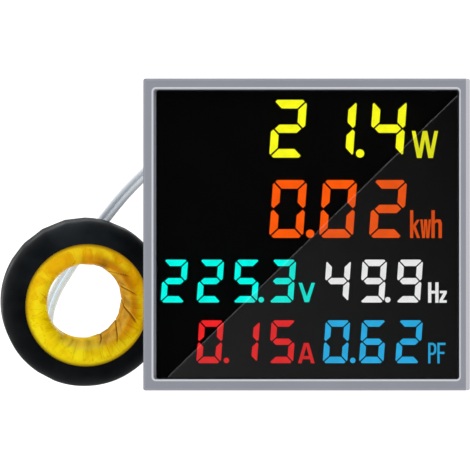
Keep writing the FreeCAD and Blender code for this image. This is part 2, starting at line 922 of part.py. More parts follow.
def pin_box(y, grown, z0, z1):
    half = bar_pin_width / 2 + grown
    right = bar_right + grown
    return box(right - bar_thickness - 2 * grown, right, y - half, y + half, z0, z1)


def eased_slab(x0, x1, y0, y1, z0, z1):
    """A slab whose edges round its low face are eased off."""
    narrow = outline(x0 + case_ease, x1 - case_ease, y0 + case_ease, y1 - case_ease,
                     case_corner - case_ease / 2, z0)
    wide = outline(x0, x1, y0, y1, case_corner, z0 + case_ease)
    return taper(narrow, wide).fuse(slab(x0, x1, y0, y1, case_corner, z0 + case_ease, z1))


def rear_case():
    half_x, half_y = case_half_x, case_half_y
    body = eased_slab(-half_x, half_x, -half_y, half_y, bay_z, mask_rear)
    body = body.fuse(eased_slab(bay_edge_x, half_x, -half_y, half_y, rear_z, mask_rear))
    for bump in rim_bumps(0.0):
        body = body.fuse(bump)
    body = body.cut(slab(-cavity_half_x, cavity_half_x, -cavity_half_y, cavity_half_y,
                         case_corner / 2, bay_floor_z, mask_rear))
    body = body.cut(slab(bay_edge_x + case_wall, cavity_half_x, -cavity_half_y, cavity_half_y,
                         case_corner / 2, rear_floor_z, bay_floor_z))
    for y in (-cavity_half_y / 2, 0.0, cavity_half_y - seat_rib_from_top):
        body = body.fuse(box(-cavity_half_x, block_left - seat_rib_from_block,
                             y - seat_rib_width / 2, y + seat_rib_width / 2, bay_floor_z,
                             main_board_rear))
    for x, y in board_screw_places():
        boss = post(x, y, screw_boss_radius, rear_floor_z, main_board_rear)
        pilot = post(x, y, board_screw_radius + screw_fit,
                     main_board_front - board_screw_length - pilot_spare, main_board_rear)
        body = body.fuse(boss).cut(pilot)
    guide = post(button_x, button_y, guide_radius, rear_floor_z, rear_floor_z + guide_height)
    guide = guide.cut(post(button_x, button_y, button_collar_radius + guide_fit, rear_floor_z,
                           rear_floor_z + guide_height))
    body = body.fuse(guide)
    body = body.cut(post(button_x, button_y, button_radius + button_fit, rear_z, rear_floor_z))
    block_low, block_high = block_span()
    body = body.cut(box(block_left - block_fit, block_right + block_fit, block_low - block_fit,
                        block_high + block_fit, bay_z, bay_floor_z))
    for number in range(vent_count):
        y = (number - (vent_count - 1) / 2) * vent_pitch
        body = body.cut(slot_along_x(y, vent_width, rear_floor_z + vent_from_floor,
                                     bay_z - vent_from_bay, cavity_half_x, case_half_x))
    for side in (-1, 1):
        body = body.cut(tongue_window(side))
    keep("rear_case", body.removeSplitter())


def slot_along_x(y, width, z0, z1, x0, x1):
    """A slot with round ends through a side wall."""
    radius = width / 2
    ends = [Part.makeCylinder(radius, x1 - x0, Vector(x0, y, z), Vector(1, 0, 0))
            for z in (z0 + radius, z1 - radius)]
    return box(x0, x1, y - radius, y + radius, z0 + radius, z1 - radius).fuse(ends)


def tongue_axis_y(side):
    return side * (case_half_y - tongue_thickness / 2)


def tongue_window(side):
    half = tongue_width / 2 + tongue_side_fit
    root = Part.makeCylinder(tongue_thickness / 2 + tongue_root_fit, 2 * half,
                             Vector(-half, tongue_axis_y(side), tongue_root_z), Vector(1, 0, 0))
    y0, y1 = sorted((side * (cavity_half_y - reach_past), side * (case_half_y + reach_past)))
    opening = box(-half, half, y0, y1, tongue_root_z, tongue_root_z + tongue_length
                  + tongue_side_fit)
    return opening.fuse(root)


def snap_tongues():
    for name, side in (("snap_tongue_top", 1), ("snap_tongue_bottom", -1)):
        half = tongue_width / 2
        radius = tongue_thickness / 2
        axis = Vector(0, tongue_axis_y(side), tongue_root_z)
        root = Part.makeCylinder(radius, tongue_width, axis - Vector(half, 0, 0), Vector(1, 0, 0))
        y0, y1 = axis.y - radius, axis.y + radius
        blade = box(-half, half, y0, y1, tongue_root_z, tongue_root_z + tongue_length)
        barb = blade.fuse(root).removeSplitter()
        barb.rotate(axis, Vector(1, 0, 0), -side * tongue_splay)
        keep(name, barb)


def board_screws():
    for x, y in board_screw_places():
        head = post(x, y, board_screw_head_radius, main_board_front,
                    main_board_front + board_screw_head_height)
        shank = post(x, y, board_screw_radius, main_board_front - board_screw_length,
                     main_board_front)
        screw = head.fuse(shank)
        half = board_screw_slot / 2
        top = main_board_front + board_screw_head_height
        reach = board_screw_slot_reach
        for long_x, long_y in ((reach, half), (half, reach)):
            screw = screw.cut(box(x - long_x, x + long_x, y - long_y, y + long_y,
                                  top - board_screw_slot_depth, top))
        keep("board_screws", screw)


# Terminal block, clamps and screws
def terminal_block():
    low, high = block_span()
    cavity_rear_z = block_rear_z + block_rear_wall
    body = box(block_left, block_right, low, high, block_rear_z, main_board_rear)
    for number, y in enumerate(pole_rows()):
        half = pole_cavity_width / 2
        cavity = box(pole_cavity_left, pole_cavity_right, y - half, y + half,
                     cavity_rear_z, block_rear_z + pole_cavity_floor)
        bore = post(pole_x, y, screw_bore_radius, block_rear_z, cavity_rear_z)
        entry = box(block_left, pole_cavity_left, y - entry_width / 2, y + entry_width / 2,
                    block_rear_z + entry_low, block_rear_z + entry_high)
        mouth = taper_x(block_left, block_left + mouth_depth, y, entry_width / 2, mouth_flare,
                        block_rear_z + entry_low, block_rear_z + entry_high)
        slot = pin_box(y, bar_fit / 2, block_rear_z + pole_cavity_floor, main_board_rear)
        body = body.cut(cavity).cut(bore).cut(entry).cut(mouth).cut(slot)
        keep("contact_plates", contact_plate(y))
        keep(f"terminal_screw_{number + 1}", terminal_screw(y))
        keep(f"clamp_cage_{number + 1}", clamp_cage(y, closed=number >= 2))
    keep("terminal_block", body)


def taper_x(x0, x1, y, half, flare, z0, z1):
    """A wire entry's mouth, wider at x0 than at x1."""
    def frame(x, grown):
        corners = [Vector(x, y - half - grown, z0 - grown), Vector(x, y + half + grown, z0 - grown),
                   Vector(x, y + half + grown, z1), Vector(x, y - half - grown, z1)]
        return Part.makePolygon(corners + corners[:1])
    return taper(frame(x0, flare), frame(x1, 0.0))


def contact_plate(y):
    half = bar_width / 2
    top = block_rear_z + bar_start
    bar = box(bar_left, bar_right, y - half, y + half, top, top + bar_thickness)
    leg = box(bar_right - bar_thickness, bar_right, y - half, y + half, top,
              block_rear_z + pole_cavity_floor)
    pin = pin_box(y, 0.0, block_rear_z + pole_cavity_floor, main_board_rear + bar_pin_length)
    return bar.fuse(leg).fuse(pin).removeSplitter()


def terminal_screw(y):
    head_z = block_rear_z + terminal_head_start
    head = post(pole_x, y, terminal_head_radius, head_z, head_z + terminal_head_height)
    tip_z = block_rear_z + bar_start - thread_fit
    shank = post(pole_x, y, terminal_shank_radius, head_z + terminal_head_height, tip_z)
    slot = box(pole_x - terminal_head_radius, pole_x + terminal_head_radius,
               y - terminal_slot_width / 2, y + terminal_slot_width / 2, head_z,
               head_z + terminal_slot_depth)
    return head.fuse(shank).cut(slot).removeSplitter()


def clamp_cage(y, closed):
    """A steel box round the contact bar that the screw draws towards its head."""
    nut_z = block_rear_z + cage_nut_start - (clamp_travel if closed else 0.0)
    half_x, half_y = cage_length / 2, cage_width / 2
    inner_z = nut_z + cage_nut_wall
    outer = box(pole_x - half_x, pole_x + half_x, y - half_y, y + half_y, nut_z,
                inner_z + cage_opening + cage_lower_wall)
    inner_half = half_y - cage_side_wall
    inner = box(pole_x - half_x, pole_x + half_x, y - inner_half, y + inner_half, inner_z,
                inner_z + cage_opening)
    bore = post(pole_x, y, terminal_shank_radius + thread_fit, nut_z, inner_z)
    return outer.cut(inner).cut(bore)


# Reset button and its switch
def reset_button():
    switch_low = main_board_rear - switch_height
    half = switch_size / 2
    body = slab(button_x - half, button_x + half, button_y - half, button_y + half,
                switch_corner, switch_low, main_board_rear)
    body = body.cut(post(button_x, button_y, actuator_radius + actuator_fit, switch_low,
                         switch_low + actuator_sunk + button_travel + actuator_room))
    keep("tact_switch", body)
    actuator_low = switch_low - actuator_height
    keep("switch_actuator", post(button_x, button_y, actuator_radius, actuator_low,
                                 switch_low + actuator_sunk))
    collar_z = rear_floor_z + button_collar_gap
    cap = post(button_x, button_y, button_radius, rear_z + button_recess, collar_z)
    collar = post(button_x, button_y, button_collar_radius, collar_z,
                  collar_z + button_collar_height)
    stem = post(button_x, button_y, button_stem_radius, collar_z + button_collar_height,
                actuator_low)
    keep("reset_plunger", cap.fuse(collar).fuse(stem).removeSplitter())


# Current transformer
def ct_placement():
    turn = Rotation(Vector(1, 0, 0), ct_pitch) * Rotation(Vector(0, 1, 0), ct_yaw)
    middle = Vector(ct_center_x, ct_center_y, ct_rear_z)
    return Placement(middle, turn)


def ring(inner, outer, low, high, inner_round, outer_round):
    """A ring about Z with round corners, turned from its section."""
    k = 1 - math.sqrt(0.5)
    a, b = inner_round, outer_round
    points = (
        ((inner, low + a), (inner + k * a, low + k * a), (inner + a, low)),
        ((outer - b, low), (outer - k * b, low + k * b), (outer, low + b)),
        ((outer, high - b), (outer - k * b, high - k * b), (outer - b, high)),
        ((inner + a, high), (inner + k * a, high - k * a), (inner, high - a)),
    )
    edges = []
    for number, corner in enumerate(points):
        start, middle, end = [Vector(r, 0, z) for r, z in corner]
        r, z = points[(number + 1) % 4][0]
        edges.append(Part.Arc(start, middle, end).toShape())
        edges.append(Part.LineSegment(end, Vector(r, 0, z)).toShape())
    face = Part.Face(Part.Wire(edges))
    return face.revolve(Vector(0, 0, 0), Vector(0, 0, 1), 360)


def transformer():
    place = ct_placement()
    tape_low = ct_tape_inset
    tape_high = ct_thickness - ct_tape_inset
    tape_outer = ct_outer_radius - ct_sleeve_thickness
    tape_round = ct_sleeve_round - ct_sleeve_thickness
    skin = ct_tape_thickness
    tape_solid = ring(ct_window_radius, tape_outer, tape_low, tape_high, ct_tape_round, tape_round)
    hollow = ring(ct_window_radius + skin, tape_outer - skin, tape_low + skin, tape_high - skin,
                  ct_tape_round - skin, tape_round - skin)
    wall = skin + ct_winding_thickness
    core = ring(ct_window_radius + wall, tape_outer - wall, tape_low + wall, tape_high - wall,
                ct_core_round, ct_core_round)
    sleeve = ring(ct_sleeve_edge_radius, ct_outer_radius, 0.0, ct_thickness, ct_sleeve_lip,
                  ct_sleeve_round)
    pieces = (
        ("ct_core", core),
        ("ct_winding", hollow.cut(core)),
        ("ct_tape", tape_solid.cut(hollow)),
        ("ct_sleeve", sleeve.cut(tape_solid)),
        ("ct_lead_boot", boot()),
    )
    for name, solid in pieces:
        solid.Placement = place.multiply(solid.Placement)
        keep(name, solid)


def boot():
    """The rubber boot on the ring's rear face that the lead comes out of."""
    angle = math.radians(boot_angle)
    body = slab(-boot_width / 2, boot_width / 2, 0.0, boot_length, boot_corner, -boot_height, 0.0)
    body.rotate(Vector(0, 0, 0), Vector(0, 0, 1), boot_angle)
    body.translate(Vector(boot_radius * math.cos(angle), boot_radius * math.sin(angle), 0))
    return body


# The twin lead's middle line between the boot and the split, in plan from the ring's middle and
# in height above the strands' rest on the table. The first stretch lies under the ring, the rest
# comes up through the window's left side and rises to the terminals. The last heights are
# shares of the way up to them.
lead_route = (
    (14.5, -8.8, 0.0), (10.6, -13.6, 0.0), (4.2, -16.7, 0.0), (-2.6, -16.1, 0.0),
    (-7.7, -11.6, 0.0), (-9.1, -5.2, 0.0), (-6.9, 1.4, 0.0), (-3.4, 6.9, 0.034),
    (0.9, 13.3, 0.13), (5.4, 19.4, 0.216), (9.4, 24.35, 0.342), (13.6, 28.8, 0.534),
    (17.6, 32.3, 0.745),
)
rest_below_ring = 4.17


def whole_route():
    """The route with its start on the boot's end face and a first run square to that face."""
    place = ct_placement()
    angle = math.radians(boot_angle)
    face = Vector(boot_radius * math.cos(angle), boot_radius * math.sin(angle), -boot_height / 2)
    start = place.multVec(face)
    heading = place.Rotation.multVec(Vector(math.sin(angle), -math.cos(angle), 0))
    rest_z = ct_rear_z - rest_below_ring
    route = [Vector(ct_center_x + x, ct_center_y + y, rest_z + share * (bare_wire_z - rest_z))
             for x, y, share in lead_route]
    return [start, start + heading * lead_first_run] + route


def rounded_path(points):
    """Straight runs joined by arcs. An arc takes up a set share of the shorter run at each side
    of its corner. Returns the wire and the radii."""
    edges, radii = [], []
    start = points[0]
    for before, here, after in zip(points, points[1:], points[2:]):
        into = (here - before).normalize()
        out = (after - here).normalize()
        turn = math.acos(max(-1.0, min(1.0, into.dot(out))))
        cut = bend_share * min((here - before).Length, (after - here).Length)
        radius = cut / math.tan(turn / 2)
        radii.append(radius)
        first, last = here - into * cut, here + out * cut
        inward = (out - into).normalize()
        sagitta = radius * (1 / math.cos(turn / 2) - 1)
        edges.append(Part.LineSegment(start, first).toShape())
        edges.append(Part.Arc(first, here + inward * sagitta, last).toShape())
        start = last
    edges.append(Part.LineSegment(start, points[-1]).toShape())
    return Part.Wire(edges), radii


def beside(points, offset):
    """The route moved sideways in plan by offset, so that two strands lie side by side."""
    moved = []
    for number, point in enumerate(points):
        into = points[max(number, 1)] - points[max(number, 1) - 1]
        out = points[min(number, len(points) - 2) + 1] - points[min(number, len(points) - 2)]
        into.z, out.z = 0.0, 0.0
        along = (into.normalize() + out.normalize()).normalize()
        half_turn = along.dot(out)
        moved.append(point + Vector(-along.y, along.x, 0) * (offset / half_turn))
    return moved


def tube(points, diameter):
    wire, radii = rounded_path(points)
    first = wire.OrderedEdges[0]
    direction = first.tangentAt(first.FirstParameter)
    section = Part.Wire(Part.makeCircle(diameter / 2, points[0], direction))
    solid = wire.makePipeShell([section], True, False)
    expected = math.pi * diameter ** 2 / 4 * wire.Length
    return solid, wire.Length, radii, solid.Volume / expected


def lead():
    offset = (strand_diameter + strand_gap) / 2
    route = whole_route()
    wire, radii = rounded_path(route)
    print("lead middle line", round(wire.Length, 2), "mm, radii",
          [round(radius, 1) for radius in radii])
    rows = pole_rows()
    for side, row in ((1, rows[3]), (-1, rows[2])):
        strand = beside(route, side * offset)
        solid, length, strand_radii, ratio = tube(strand, strand_diameter)
        print("strand", round(length, 2), "mm, radii",
              [round(radius, 1) for radius in strand_radii], "ratio", round(ratio, 4))
        keep("ct_lead", solid)
        onward = (strand[-1] - strand[-2]).normalize()
        entry = Vector(block_left + tail_in_block, row, bare_wire_z)
        before_entry = Vector(block_left - tail_last_run, row, bare_wire_z)
        tail_route = (strand[-1], strand[-1] + onward * tail_first_run, before_entry, entry)
        tail, length, tail_radii, ratio = tube(tail_route, strand_diameter)
        print("tail", round(length, 2), "mm, radii", [round(radius, 1) for radius in tail_radii],
              "ratio", round(ratio, 4))
        keep("lead_tails", tail)
        keep("lead_bare_ends", Part.makeCylinder(bare_diameter / 2, bare_length, entry,
                                                 Vector(1, 0, 0)))


front_bezel()
display_lens()
display_stack()
main_board()
pin_headers()
chips()
tall_parts()
rear_case()
snap_tongues()
board_screws()
terminal_block()
reset_button()
transformer()
lead()

os.makedirs("parts", exist_ok=True)
for name, solids in sorted(made.items()):
    shape = solids[0] if len(solids) == 1 else Part.makeCompound(solids)
    if not shape.isValid():
        print("not valid:", name)
    shape.exportStep(os.path.join("parts", name + ".step"))
    print(name, len(shape.Solids), "solids", round(shape.Volume, 2), "mm3")
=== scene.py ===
# %% [markdown]
# # Dressing a panel power meter and its current transformer
#
# The object is a flush panel meter: a grey bezel round a black window with six lit readings,
# and a ring-shaped current transformer on a short white twin lead. It lies on its back on a
# white table and is seen from straight above. The solid parts come ready made as a fixed
# frame. This script gives them their finishes and makes the soft and wound pieces anew.

# %% Frame
import math

import bpy
import numpy as np
from mathutils import Matrix, Vector


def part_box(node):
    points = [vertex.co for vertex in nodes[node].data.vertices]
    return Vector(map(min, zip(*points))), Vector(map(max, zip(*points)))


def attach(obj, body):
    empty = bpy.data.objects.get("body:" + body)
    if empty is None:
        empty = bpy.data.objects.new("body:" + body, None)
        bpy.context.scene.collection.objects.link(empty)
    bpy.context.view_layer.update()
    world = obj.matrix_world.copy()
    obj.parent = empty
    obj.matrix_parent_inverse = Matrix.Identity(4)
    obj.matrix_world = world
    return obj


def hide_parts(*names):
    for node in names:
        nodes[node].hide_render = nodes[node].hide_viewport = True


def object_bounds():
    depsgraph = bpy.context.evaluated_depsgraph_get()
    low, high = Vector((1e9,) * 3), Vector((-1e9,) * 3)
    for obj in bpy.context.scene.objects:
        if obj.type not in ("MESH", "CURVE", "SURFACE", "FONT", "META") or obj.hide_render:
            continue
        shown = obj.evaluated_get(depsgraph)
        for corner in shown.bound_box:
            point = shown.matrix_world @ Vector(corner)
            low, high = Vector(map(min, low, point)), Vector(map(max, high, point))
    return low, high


MM = 0.001
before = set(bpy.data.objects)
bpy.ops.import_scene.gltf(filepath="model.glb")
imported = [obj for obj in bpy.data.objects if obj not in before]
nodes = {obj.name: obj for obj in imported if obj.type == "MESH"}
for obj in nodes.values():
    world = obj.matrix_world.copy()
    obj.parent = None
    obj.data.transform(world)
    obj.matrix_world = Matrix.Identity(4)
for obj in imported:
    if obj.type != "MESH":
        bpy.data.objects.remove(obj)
solid_low, solid_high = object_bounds()
print("solid model:", [round(v / MM, 2) for v in solid_high - solid_low], "mm")


def placed(name, data):
    """A new object at the origin that shows the data."""
    piece = bpy.data.objects.new(name, data)
    bpy.context.scene.collection.objects.link(piece)
    return piece


# %% [markdown]
# ## Camera
#
# A catalogue picture of a flat thing is taken from straight above and far away, so that the
# square bezel stays square. A long lens on a camera 0.9 m over the display does the same. The
# width of the view at the bezel's front fixes the lens.

# %% Camera
camera_place = Vector((-17.1 * MM, -0.12 * MM, 904 * MM))
bezel_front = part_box("front_bezel")[1].z
view_width = 112.14 * MM
sensor_width = 36.0
camera_data = bpy.data.cameras.new("studio_camera")
camera_data.sensor_width = sensor_width
camera_data.lens = sensor_width * (camera_place.z - bezel_front) / view_width
camera = placed("studio_camera", camera_data)
camera.location = camera_place
bpy.context.scene.camera = camera
print("lens:", round(camera_data.lens, 1), "mm")

# %% [markdown]
# ## Where the ring lies
#
# The transformer leans on its own lead, so its ring is a little tilted. Both the lead and the
# ring's pieces start from this place: the middle of its rear face, and two small turns.

# %% Ring place
ring_middle = Vector((-54.8, -15.6, -26.1)) * MM
ring_lean = math.radians(7.5)
ring_turn = Matrix.Rotation(ring_lean, 4, "X") @ Matrix.Rotation(ring_lean, 4, "Y")
ring_matrix = Matrix.Translation(ring_middle) @ ring_turn

# %% [markdown]
# ## The lead's route
#
# The lead is two thin round wires side by side. It leaves a rubber boot under the ring, lies
# in a loose loop on the table, comes up through the ring's window and rises to the terminals
# behind the display. The points are its route's corners.

# %% Lead route
boot_angle = math.radians(2)
boot_radius = 15.2 * MM
boot_height = 2.0 * MM
first_run = 4.0 * MM
clamp_height = -15.15 * MM
rest_height = -30.27 * MM

# In plan from the ring's middle, in millimetres, and as a share of the rise to the clamps
route_corners = np.array((
    (14.5, -8.8, 0.0), (10.6, -13.6, 0.0), (4.2, -16.7, 0.0), (-2.6, -16.1, 0.0),
    (-7.7, -11.6, 0.0), (-9.1, -5.2, 0.0), (-6.9, 1.4, 0.0), (-3.4, 6.9, 0.034),
    (0.9, 13.3, 0.13), (5.4, 19.4, 0.216), (9.4, 24.35, 0.342), (13.6, 28.8, 0.534),
    (17.6, 32.3, 0.745),
))


def unit(vectors):
    """Each vector divided by its own length."""
    return vectors / np.linalg.norm(vectors, axis=-1, keepdims=True)


def lead_route():
    """The boot's end, a short run square to it, and then the corners of the loop and rise."""
    outward = Vector((math.cos(boot_angle), math.sin(boot_angle), 0)) * boot_radius
    start = ring_matrix @ (outward - Vector((0, 0, boot_height / 2)))
    heading = ring_turn @ Vector((math.sin(boot_angle), -math.cos(boot_angle), 0))
    plan = route_corners[:, :2] * MM + np.array(ring_middle)[:2]
    heights = rest_height + route_corners[:, 2] * (clamp_height - rest_height)
    return np.vstack((start, start + heading * first_run, np.column_stack((plan, heights))))


# %% [markdown]
# ## The two wires
#
# A smooth curve with a round bevel is the natural way to make a wire. Both wires follow the
# route, each at its own side. Near its end the lead is split, and each wire goes into a clamp.

# %% Lead wires
wire_diameter = 1.45 * MM
wire_gap = 0.02 * MM
split_length = 3.8 * MM
terminal_front = -29.2 * MM
terminal_inside = -25.7 * MM


def beside(points, offset):
    """Each point moves sideways in plan by the offset over the cosine of half the turn there."""
    runs = unit(np.diff(points[:, :2], axis=0))
    into = np.vstack((runs[:1], runs))
    out = np.vstack((runs, runs[-1:]))
    along = unit(into + out)
    half_turn = np.sum(along * out, axis=1, keepdims=True)
    moved = points.copy()
    moved[:, :2] += np.column_stack((-along[:, 1], along[:, 0])) * offset / half_turn
    return moved


def wire_curve(name, points, diameter):
    """A smooth curve with a round section: the bevel is 1 m deep, times each point's radius."""
    data = bpy.data.curves.new(name, "CURVE")
    data.dimensions = "3D"
    data.bevel_depth = 1.0
    data.bevel_resolution = 6
    data.resolution_u = 16
    data.use_fill_caps = True
    spline = data.splines.new("NURBS")
    spline.points.add(len(points) - 1)
    for knot, place in zip(spline.points, points):
        knot.co = (*place, 1.0)
        knot.radius = diameter / 2
    spline.order_u = 3
    spline.use_endpoint_u = True
    return placed(name, data)


# Name, side of the lead's middle line, place of the clamp along Y, length from boot to clamp
wires = (
    ("lead_wire_left", 1, 22.86 * MM, 106.0 * MM),
    ("lead_wire_right", -1, 17.78 * MM, 98.5 * MM),
)
lead_wires = []
for name, side, row, wire_length in wires:
    strand = beside(lead_route(), side * (wire_diameter + wire_gap) / 2)
    heading = unit(strand[-1] - strand[-2])
    tail = np.array((
        strand[-1] + heading * split_length,
        (terminal_front, row, clamp_height),
        (terminal_inside, row, clamp_height),
    ))
    wire = wire_curve(name, np.vstack((strand[:-1], tail)), wire_diameter)
    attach(wire, "meter")
    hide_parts("ct_lead", "lead_tails")
    lead_wires.append(wire)

# %% [markdown]
# ## Meshes from grids
#
# Every new surface here is a grid of points: one direction runs along the shape, the other
# round it. The points are worked out as whole arrays, and neighbours are joined into
# four-sided faces. The sum of the signed volumes under the faces says whether they point
# outwards.

# %% Grid meshes
def grid_piece(name, points, round_rows=True, smooth=True):
    """A mesh through an array of rows and columns of points. Each row is closed round, and the
    last row is joined to the first where asked. Faces are turned over when the volume that
    they enclose comes out negative."""
    rows, columns = points.shape[:2]
    index = np.arange(rows * columns).reshape(rows, columns)
    if round_rows:
        index = np.vstack((index, index[:1]))
    index = np.hstack((index, index[:, :1]))
    quads = np.stack((index[:-1, :-1], index[1:, :-1], index[1:, 1:], index[:-1, 1:]), axis=-1)
    quads = quads.reshape(-1, 4)
    flat = points.reshape(-1, 3)
    a, b, c, d = (flat[quads[:, corner]] for corner in range(4))
    volume = (np.sum(a * np.cross(b, c)) + np.sum(a * np.cross(c, d))) / 6
    if volume < 0:
        quads = quads[:, ::-1]
    mesh = bpy.data.meshes.new(name)
    mesh.vertices.add(len(flat))
    mesh.vertices.foreach_set("co", flat.astype(np.float32).ravel())
    mesh.loops.add(quads.size)
    mesh.loops.foreach_set("vertex_index", quads.astype(np.int32).ravel())
    mesh.polygons.add(len(quads))
    mesh.polygons.foreach_set("loop_start", np.arange(0, quads.size, 4, dtype=np.int32))
    mesh.polygons.foreach_set("use_smooth", np.full(len(quads), smooth))
    mesh.update(calc_edges=True)
    print(name, len(quads), "faces,", round(abs(volume) / MM ** 3, 1), "mm3")
    return placed(name, mesh)


def point_values(piece, name, values):
    """Stores one number per point, for the material to read."""
    attribute = piece.data.attributes.new(name, "FLOAT", "POINT")
    attribute.data.foreach_set("value", values.astype(np.float32).ravel())


# %% [markdown]
# ## Steps, bells and noise
#
# Tape and rubber are shaped by adding small heights to a smooth form. A soft step fades a
# height in or out, a bell makes a fold, and seeded noise makes what follows no rule.

# %% Steps, bells and noise
def smooth_step(value, low, high):
    """0 below low, 1 above high, and an S-shaped cubic between them."""
    share = np.clip((value - low) / (high - low), 0.0, 1.0)
    return share * share * (3 - 2 * share)


def bell(distance, width):
    """1 at no distance, falling to 0 on both sides: e to the minus square of their quotient."""
    return np.exp(-(distance / width) ** 2)


def ripple(turn, along, lobes, rows, seed):
    """Seeded noise from -1 to 1 on a wheel of lobes by rows random knots, blended smoothly
    between the knots, where turn and along run from 0 to 1 and turn comes back to its start."""
    knots = np.random.default_rng(seed).uniform(-1, 1, (lobes, rows + 1))
    u = np.mod(turn, 1.0) * lobes
    v = np.clip(along, 0.0, 1.0) * (rows - 1e-6)
    i, j = u.astype(int), v.astype(int)
    a, b = smooth_step(u - i, 0, 1), smooth_step(v - j, 0, 1)
    i, k = i % lobes, (i + 1) % lobes
    low = knots[i, j] * (1 - a) + knots[k, j] * a
    high = knots[i, j + 1] * (1 - a) + knots[k, j + 1] * a
    return low * (1 - b) + high * b


# %% [markdown]
# ## The ring's section
#
# The transformer is a wound steel ring wrapped in yellow film tape, with a black rubber sleeve
# drawn over its outside. Both are a rounded rectangle carried round a circle, so one function
# gives the section's points at even steps, and another carries it round.

# %% Ring section
ring_frame = np.array(ring_matrix)
ring_height = 13.5 * MM
ring_radius = 20.5 * MM
bore_radius = 9.38 * MM
tape_inset = 0.7 * MM
tape_round = 3.0 * MM
sleeve_wall = 0.95 * MM
sleeve_edge = 15.04 * MM
sleeve_round = 4.2 * MM


def corner_arc(centre, radius, start, end, count=24):
    """A quarter circle of points about a centre, between two angles in degrees."""
    angles = np.radians(np.linspace(start, end, count))
    return np.array(centre) + radius * np.column_stack((np.cos(angles), np.sin(angles)))


def even_steps(corners, count):
    """The closed line through the corners, cut into equal steps of its length. Returns the
    points and how far along each lies."""
    closed = np.vstack((corners, corners[:1]))
    lengths = np.linalg.norm(np.diff(closed, axis=0), axis=1)
    along = np.concatenate(((0.0,), np.cumsum(lengths)))
    wanted = np.linspace(0, along[-1], count, endpoint=False)
    places = np.column_stack([np.interp(wanted, along, closed[:, axis]) for axis in (0, 1)])
    return places, wanted


def outward_of(section):
    """The direction square to the section's line at each point, away from its inside."""
    tangent = unit(np.roll(section, -1, axis=0) - np.roll(section, 1, axis=0))
    return np.column_stack((tangent[:, 1], -tangent[:, 0]))


def carried_round(radius, height, angle):
    """Each section point turned about the ring's axis, then placed as the ring lies."""
    local = np.stack((radius * np.cos(angle), radius * np.sin(angle), height), axis=-1)
    return local @ ring_frame[:3, :3].T + ring_frame[:3, 3]


def turned_from(line, angle):
    """How far each angle is turned from a line, between minus and plus half a turn."""
    return np.angle(np.exp(1j * (angle - line)))


def chord_depth(half, apart):
    """How far a chord lies inside its circle of radius 1, at an angle apart from the chord's
    middle: 1 minus the cosine of half the chord's angle over the cosine of the angle apart."""
    return 1 - np.cos(half) / np.cos(np.minimum(apart, 1.0))


# %% [markdown]
# ## The tape's section
#
# Film tape is wound round and round through the ring, so its smooth outline is a rounded
# rectangle a little inside the sleeve's. Each point of it has a share of the climb from the
# rear to the front, and shares that say whether it lies in the window or on the bare face.

# %% Tape section
tape_outer = ring_radius - sleeve_wall
tape_outer_round = sleeve_round - sleeve_wall
tape_low, tape_high = tape_inset, ring_height - tape_inset
low_corner = (tape_outer - tape_outer_round, tape_low + tape_outer_round)
high_corner = (tape_outer - tape_outer_round, tape_high - tape_outer_round)
tape_slant = math.radians(17)

tape_corners = np.vstack((
    ((bore_radius, tape_low + tape_round),),
    corner_arc((bore_radius + tape_round, tape_high - tape_round), tape_round, 180, 90),
    corner_arc(high_corner, tape_outer_round, 90, 0),
    corner_arc(low_corner, tape_outer_round, 0, -90),
    corner_arc((bore_radius + tape_round, tape_low + tape_round), tape_round, -90, -180)[:-1],
))[::-1]
tape_section, tape_along = even_steps(tape_corners, 104)
tape_out = outward_of(tape_section)
angle = np.linspace(0, 2 * math.pi, 920, endpoint=False)[:, None]
radius, height = tape_section[:, 0], tape_section[:, 1]

from_bore = radius - bore_radius
wrap = tape_along / tape_along[-1]
climb = np.clip((height - tape_low) / (tape_high - tape_low), 0, 1)
in_bore = 1 - smooth_step(from_bore, 0.2 * MM, 2.6 * MM)
bare_face = 1 - smooth_step(radius, sleeve_edge - 1.2 * MM, sleeve_edge - 0.2 * MM)
turn = (angle + tape_slant * climb * bare_face) / (2 * math.pi)

# %% [markdown]
# ## Puckers, steps and facets
#
# The film is nowhere quite smooth. It has soft puckers, a step where each turn lies on the one
# before, and many small facets, which are not shaped but painted paler and deeper as light and
# shade. A thin wrinkle runs between a high and a low facet, that is, wherever the facets' noise
# passes through 0. Each line below is noise on the same grid.

# %% Puckers, steps and facets
tape_turns = 36
tape_step = 0.07 * MM
pucker_height = 0.16 * MM
edge_waviness = 0.12 * MM
wrinkle_depth = 0.03 * MM
wrinkle_width = 0.05

puckers = ripple(turn, wrap, 41, 7, 11) + 0.4 * ripple(turn, wrap, 97, 9, 12)
steps = np.mod(turn * tape_turns + 0.25 * ripple(turn, climb, 18, 3, 13), 1.0)
uneven = ripple(turn, 0, 9, 2, 14) + 0.4 * ripple(turn, 0, 19, 2, 15)
bent_turn = turn + 0.004 * ripple(turn, climb, 47, 5, 16)
facets = ripple(bent_turn, wrap, 31, 12, 17) + 0.5 * ripple(bent_turn, wrap, 73, 25, 18)
wrinkles = bell(facets, wrinkle_width) * bare_face

# %% [markdown]
# ## Creases
#
# In the window the turns crowd together, and the film folds into sharp slanting creases. A
# crease is a valley with a bell-shaped section along a slanting line, and a lower ridge of the
# same kind beside it. The six deepest are the ones that catch the eye.

# %% Creases
crease_width = 0.20 * MM
shallow_depth = 0.1

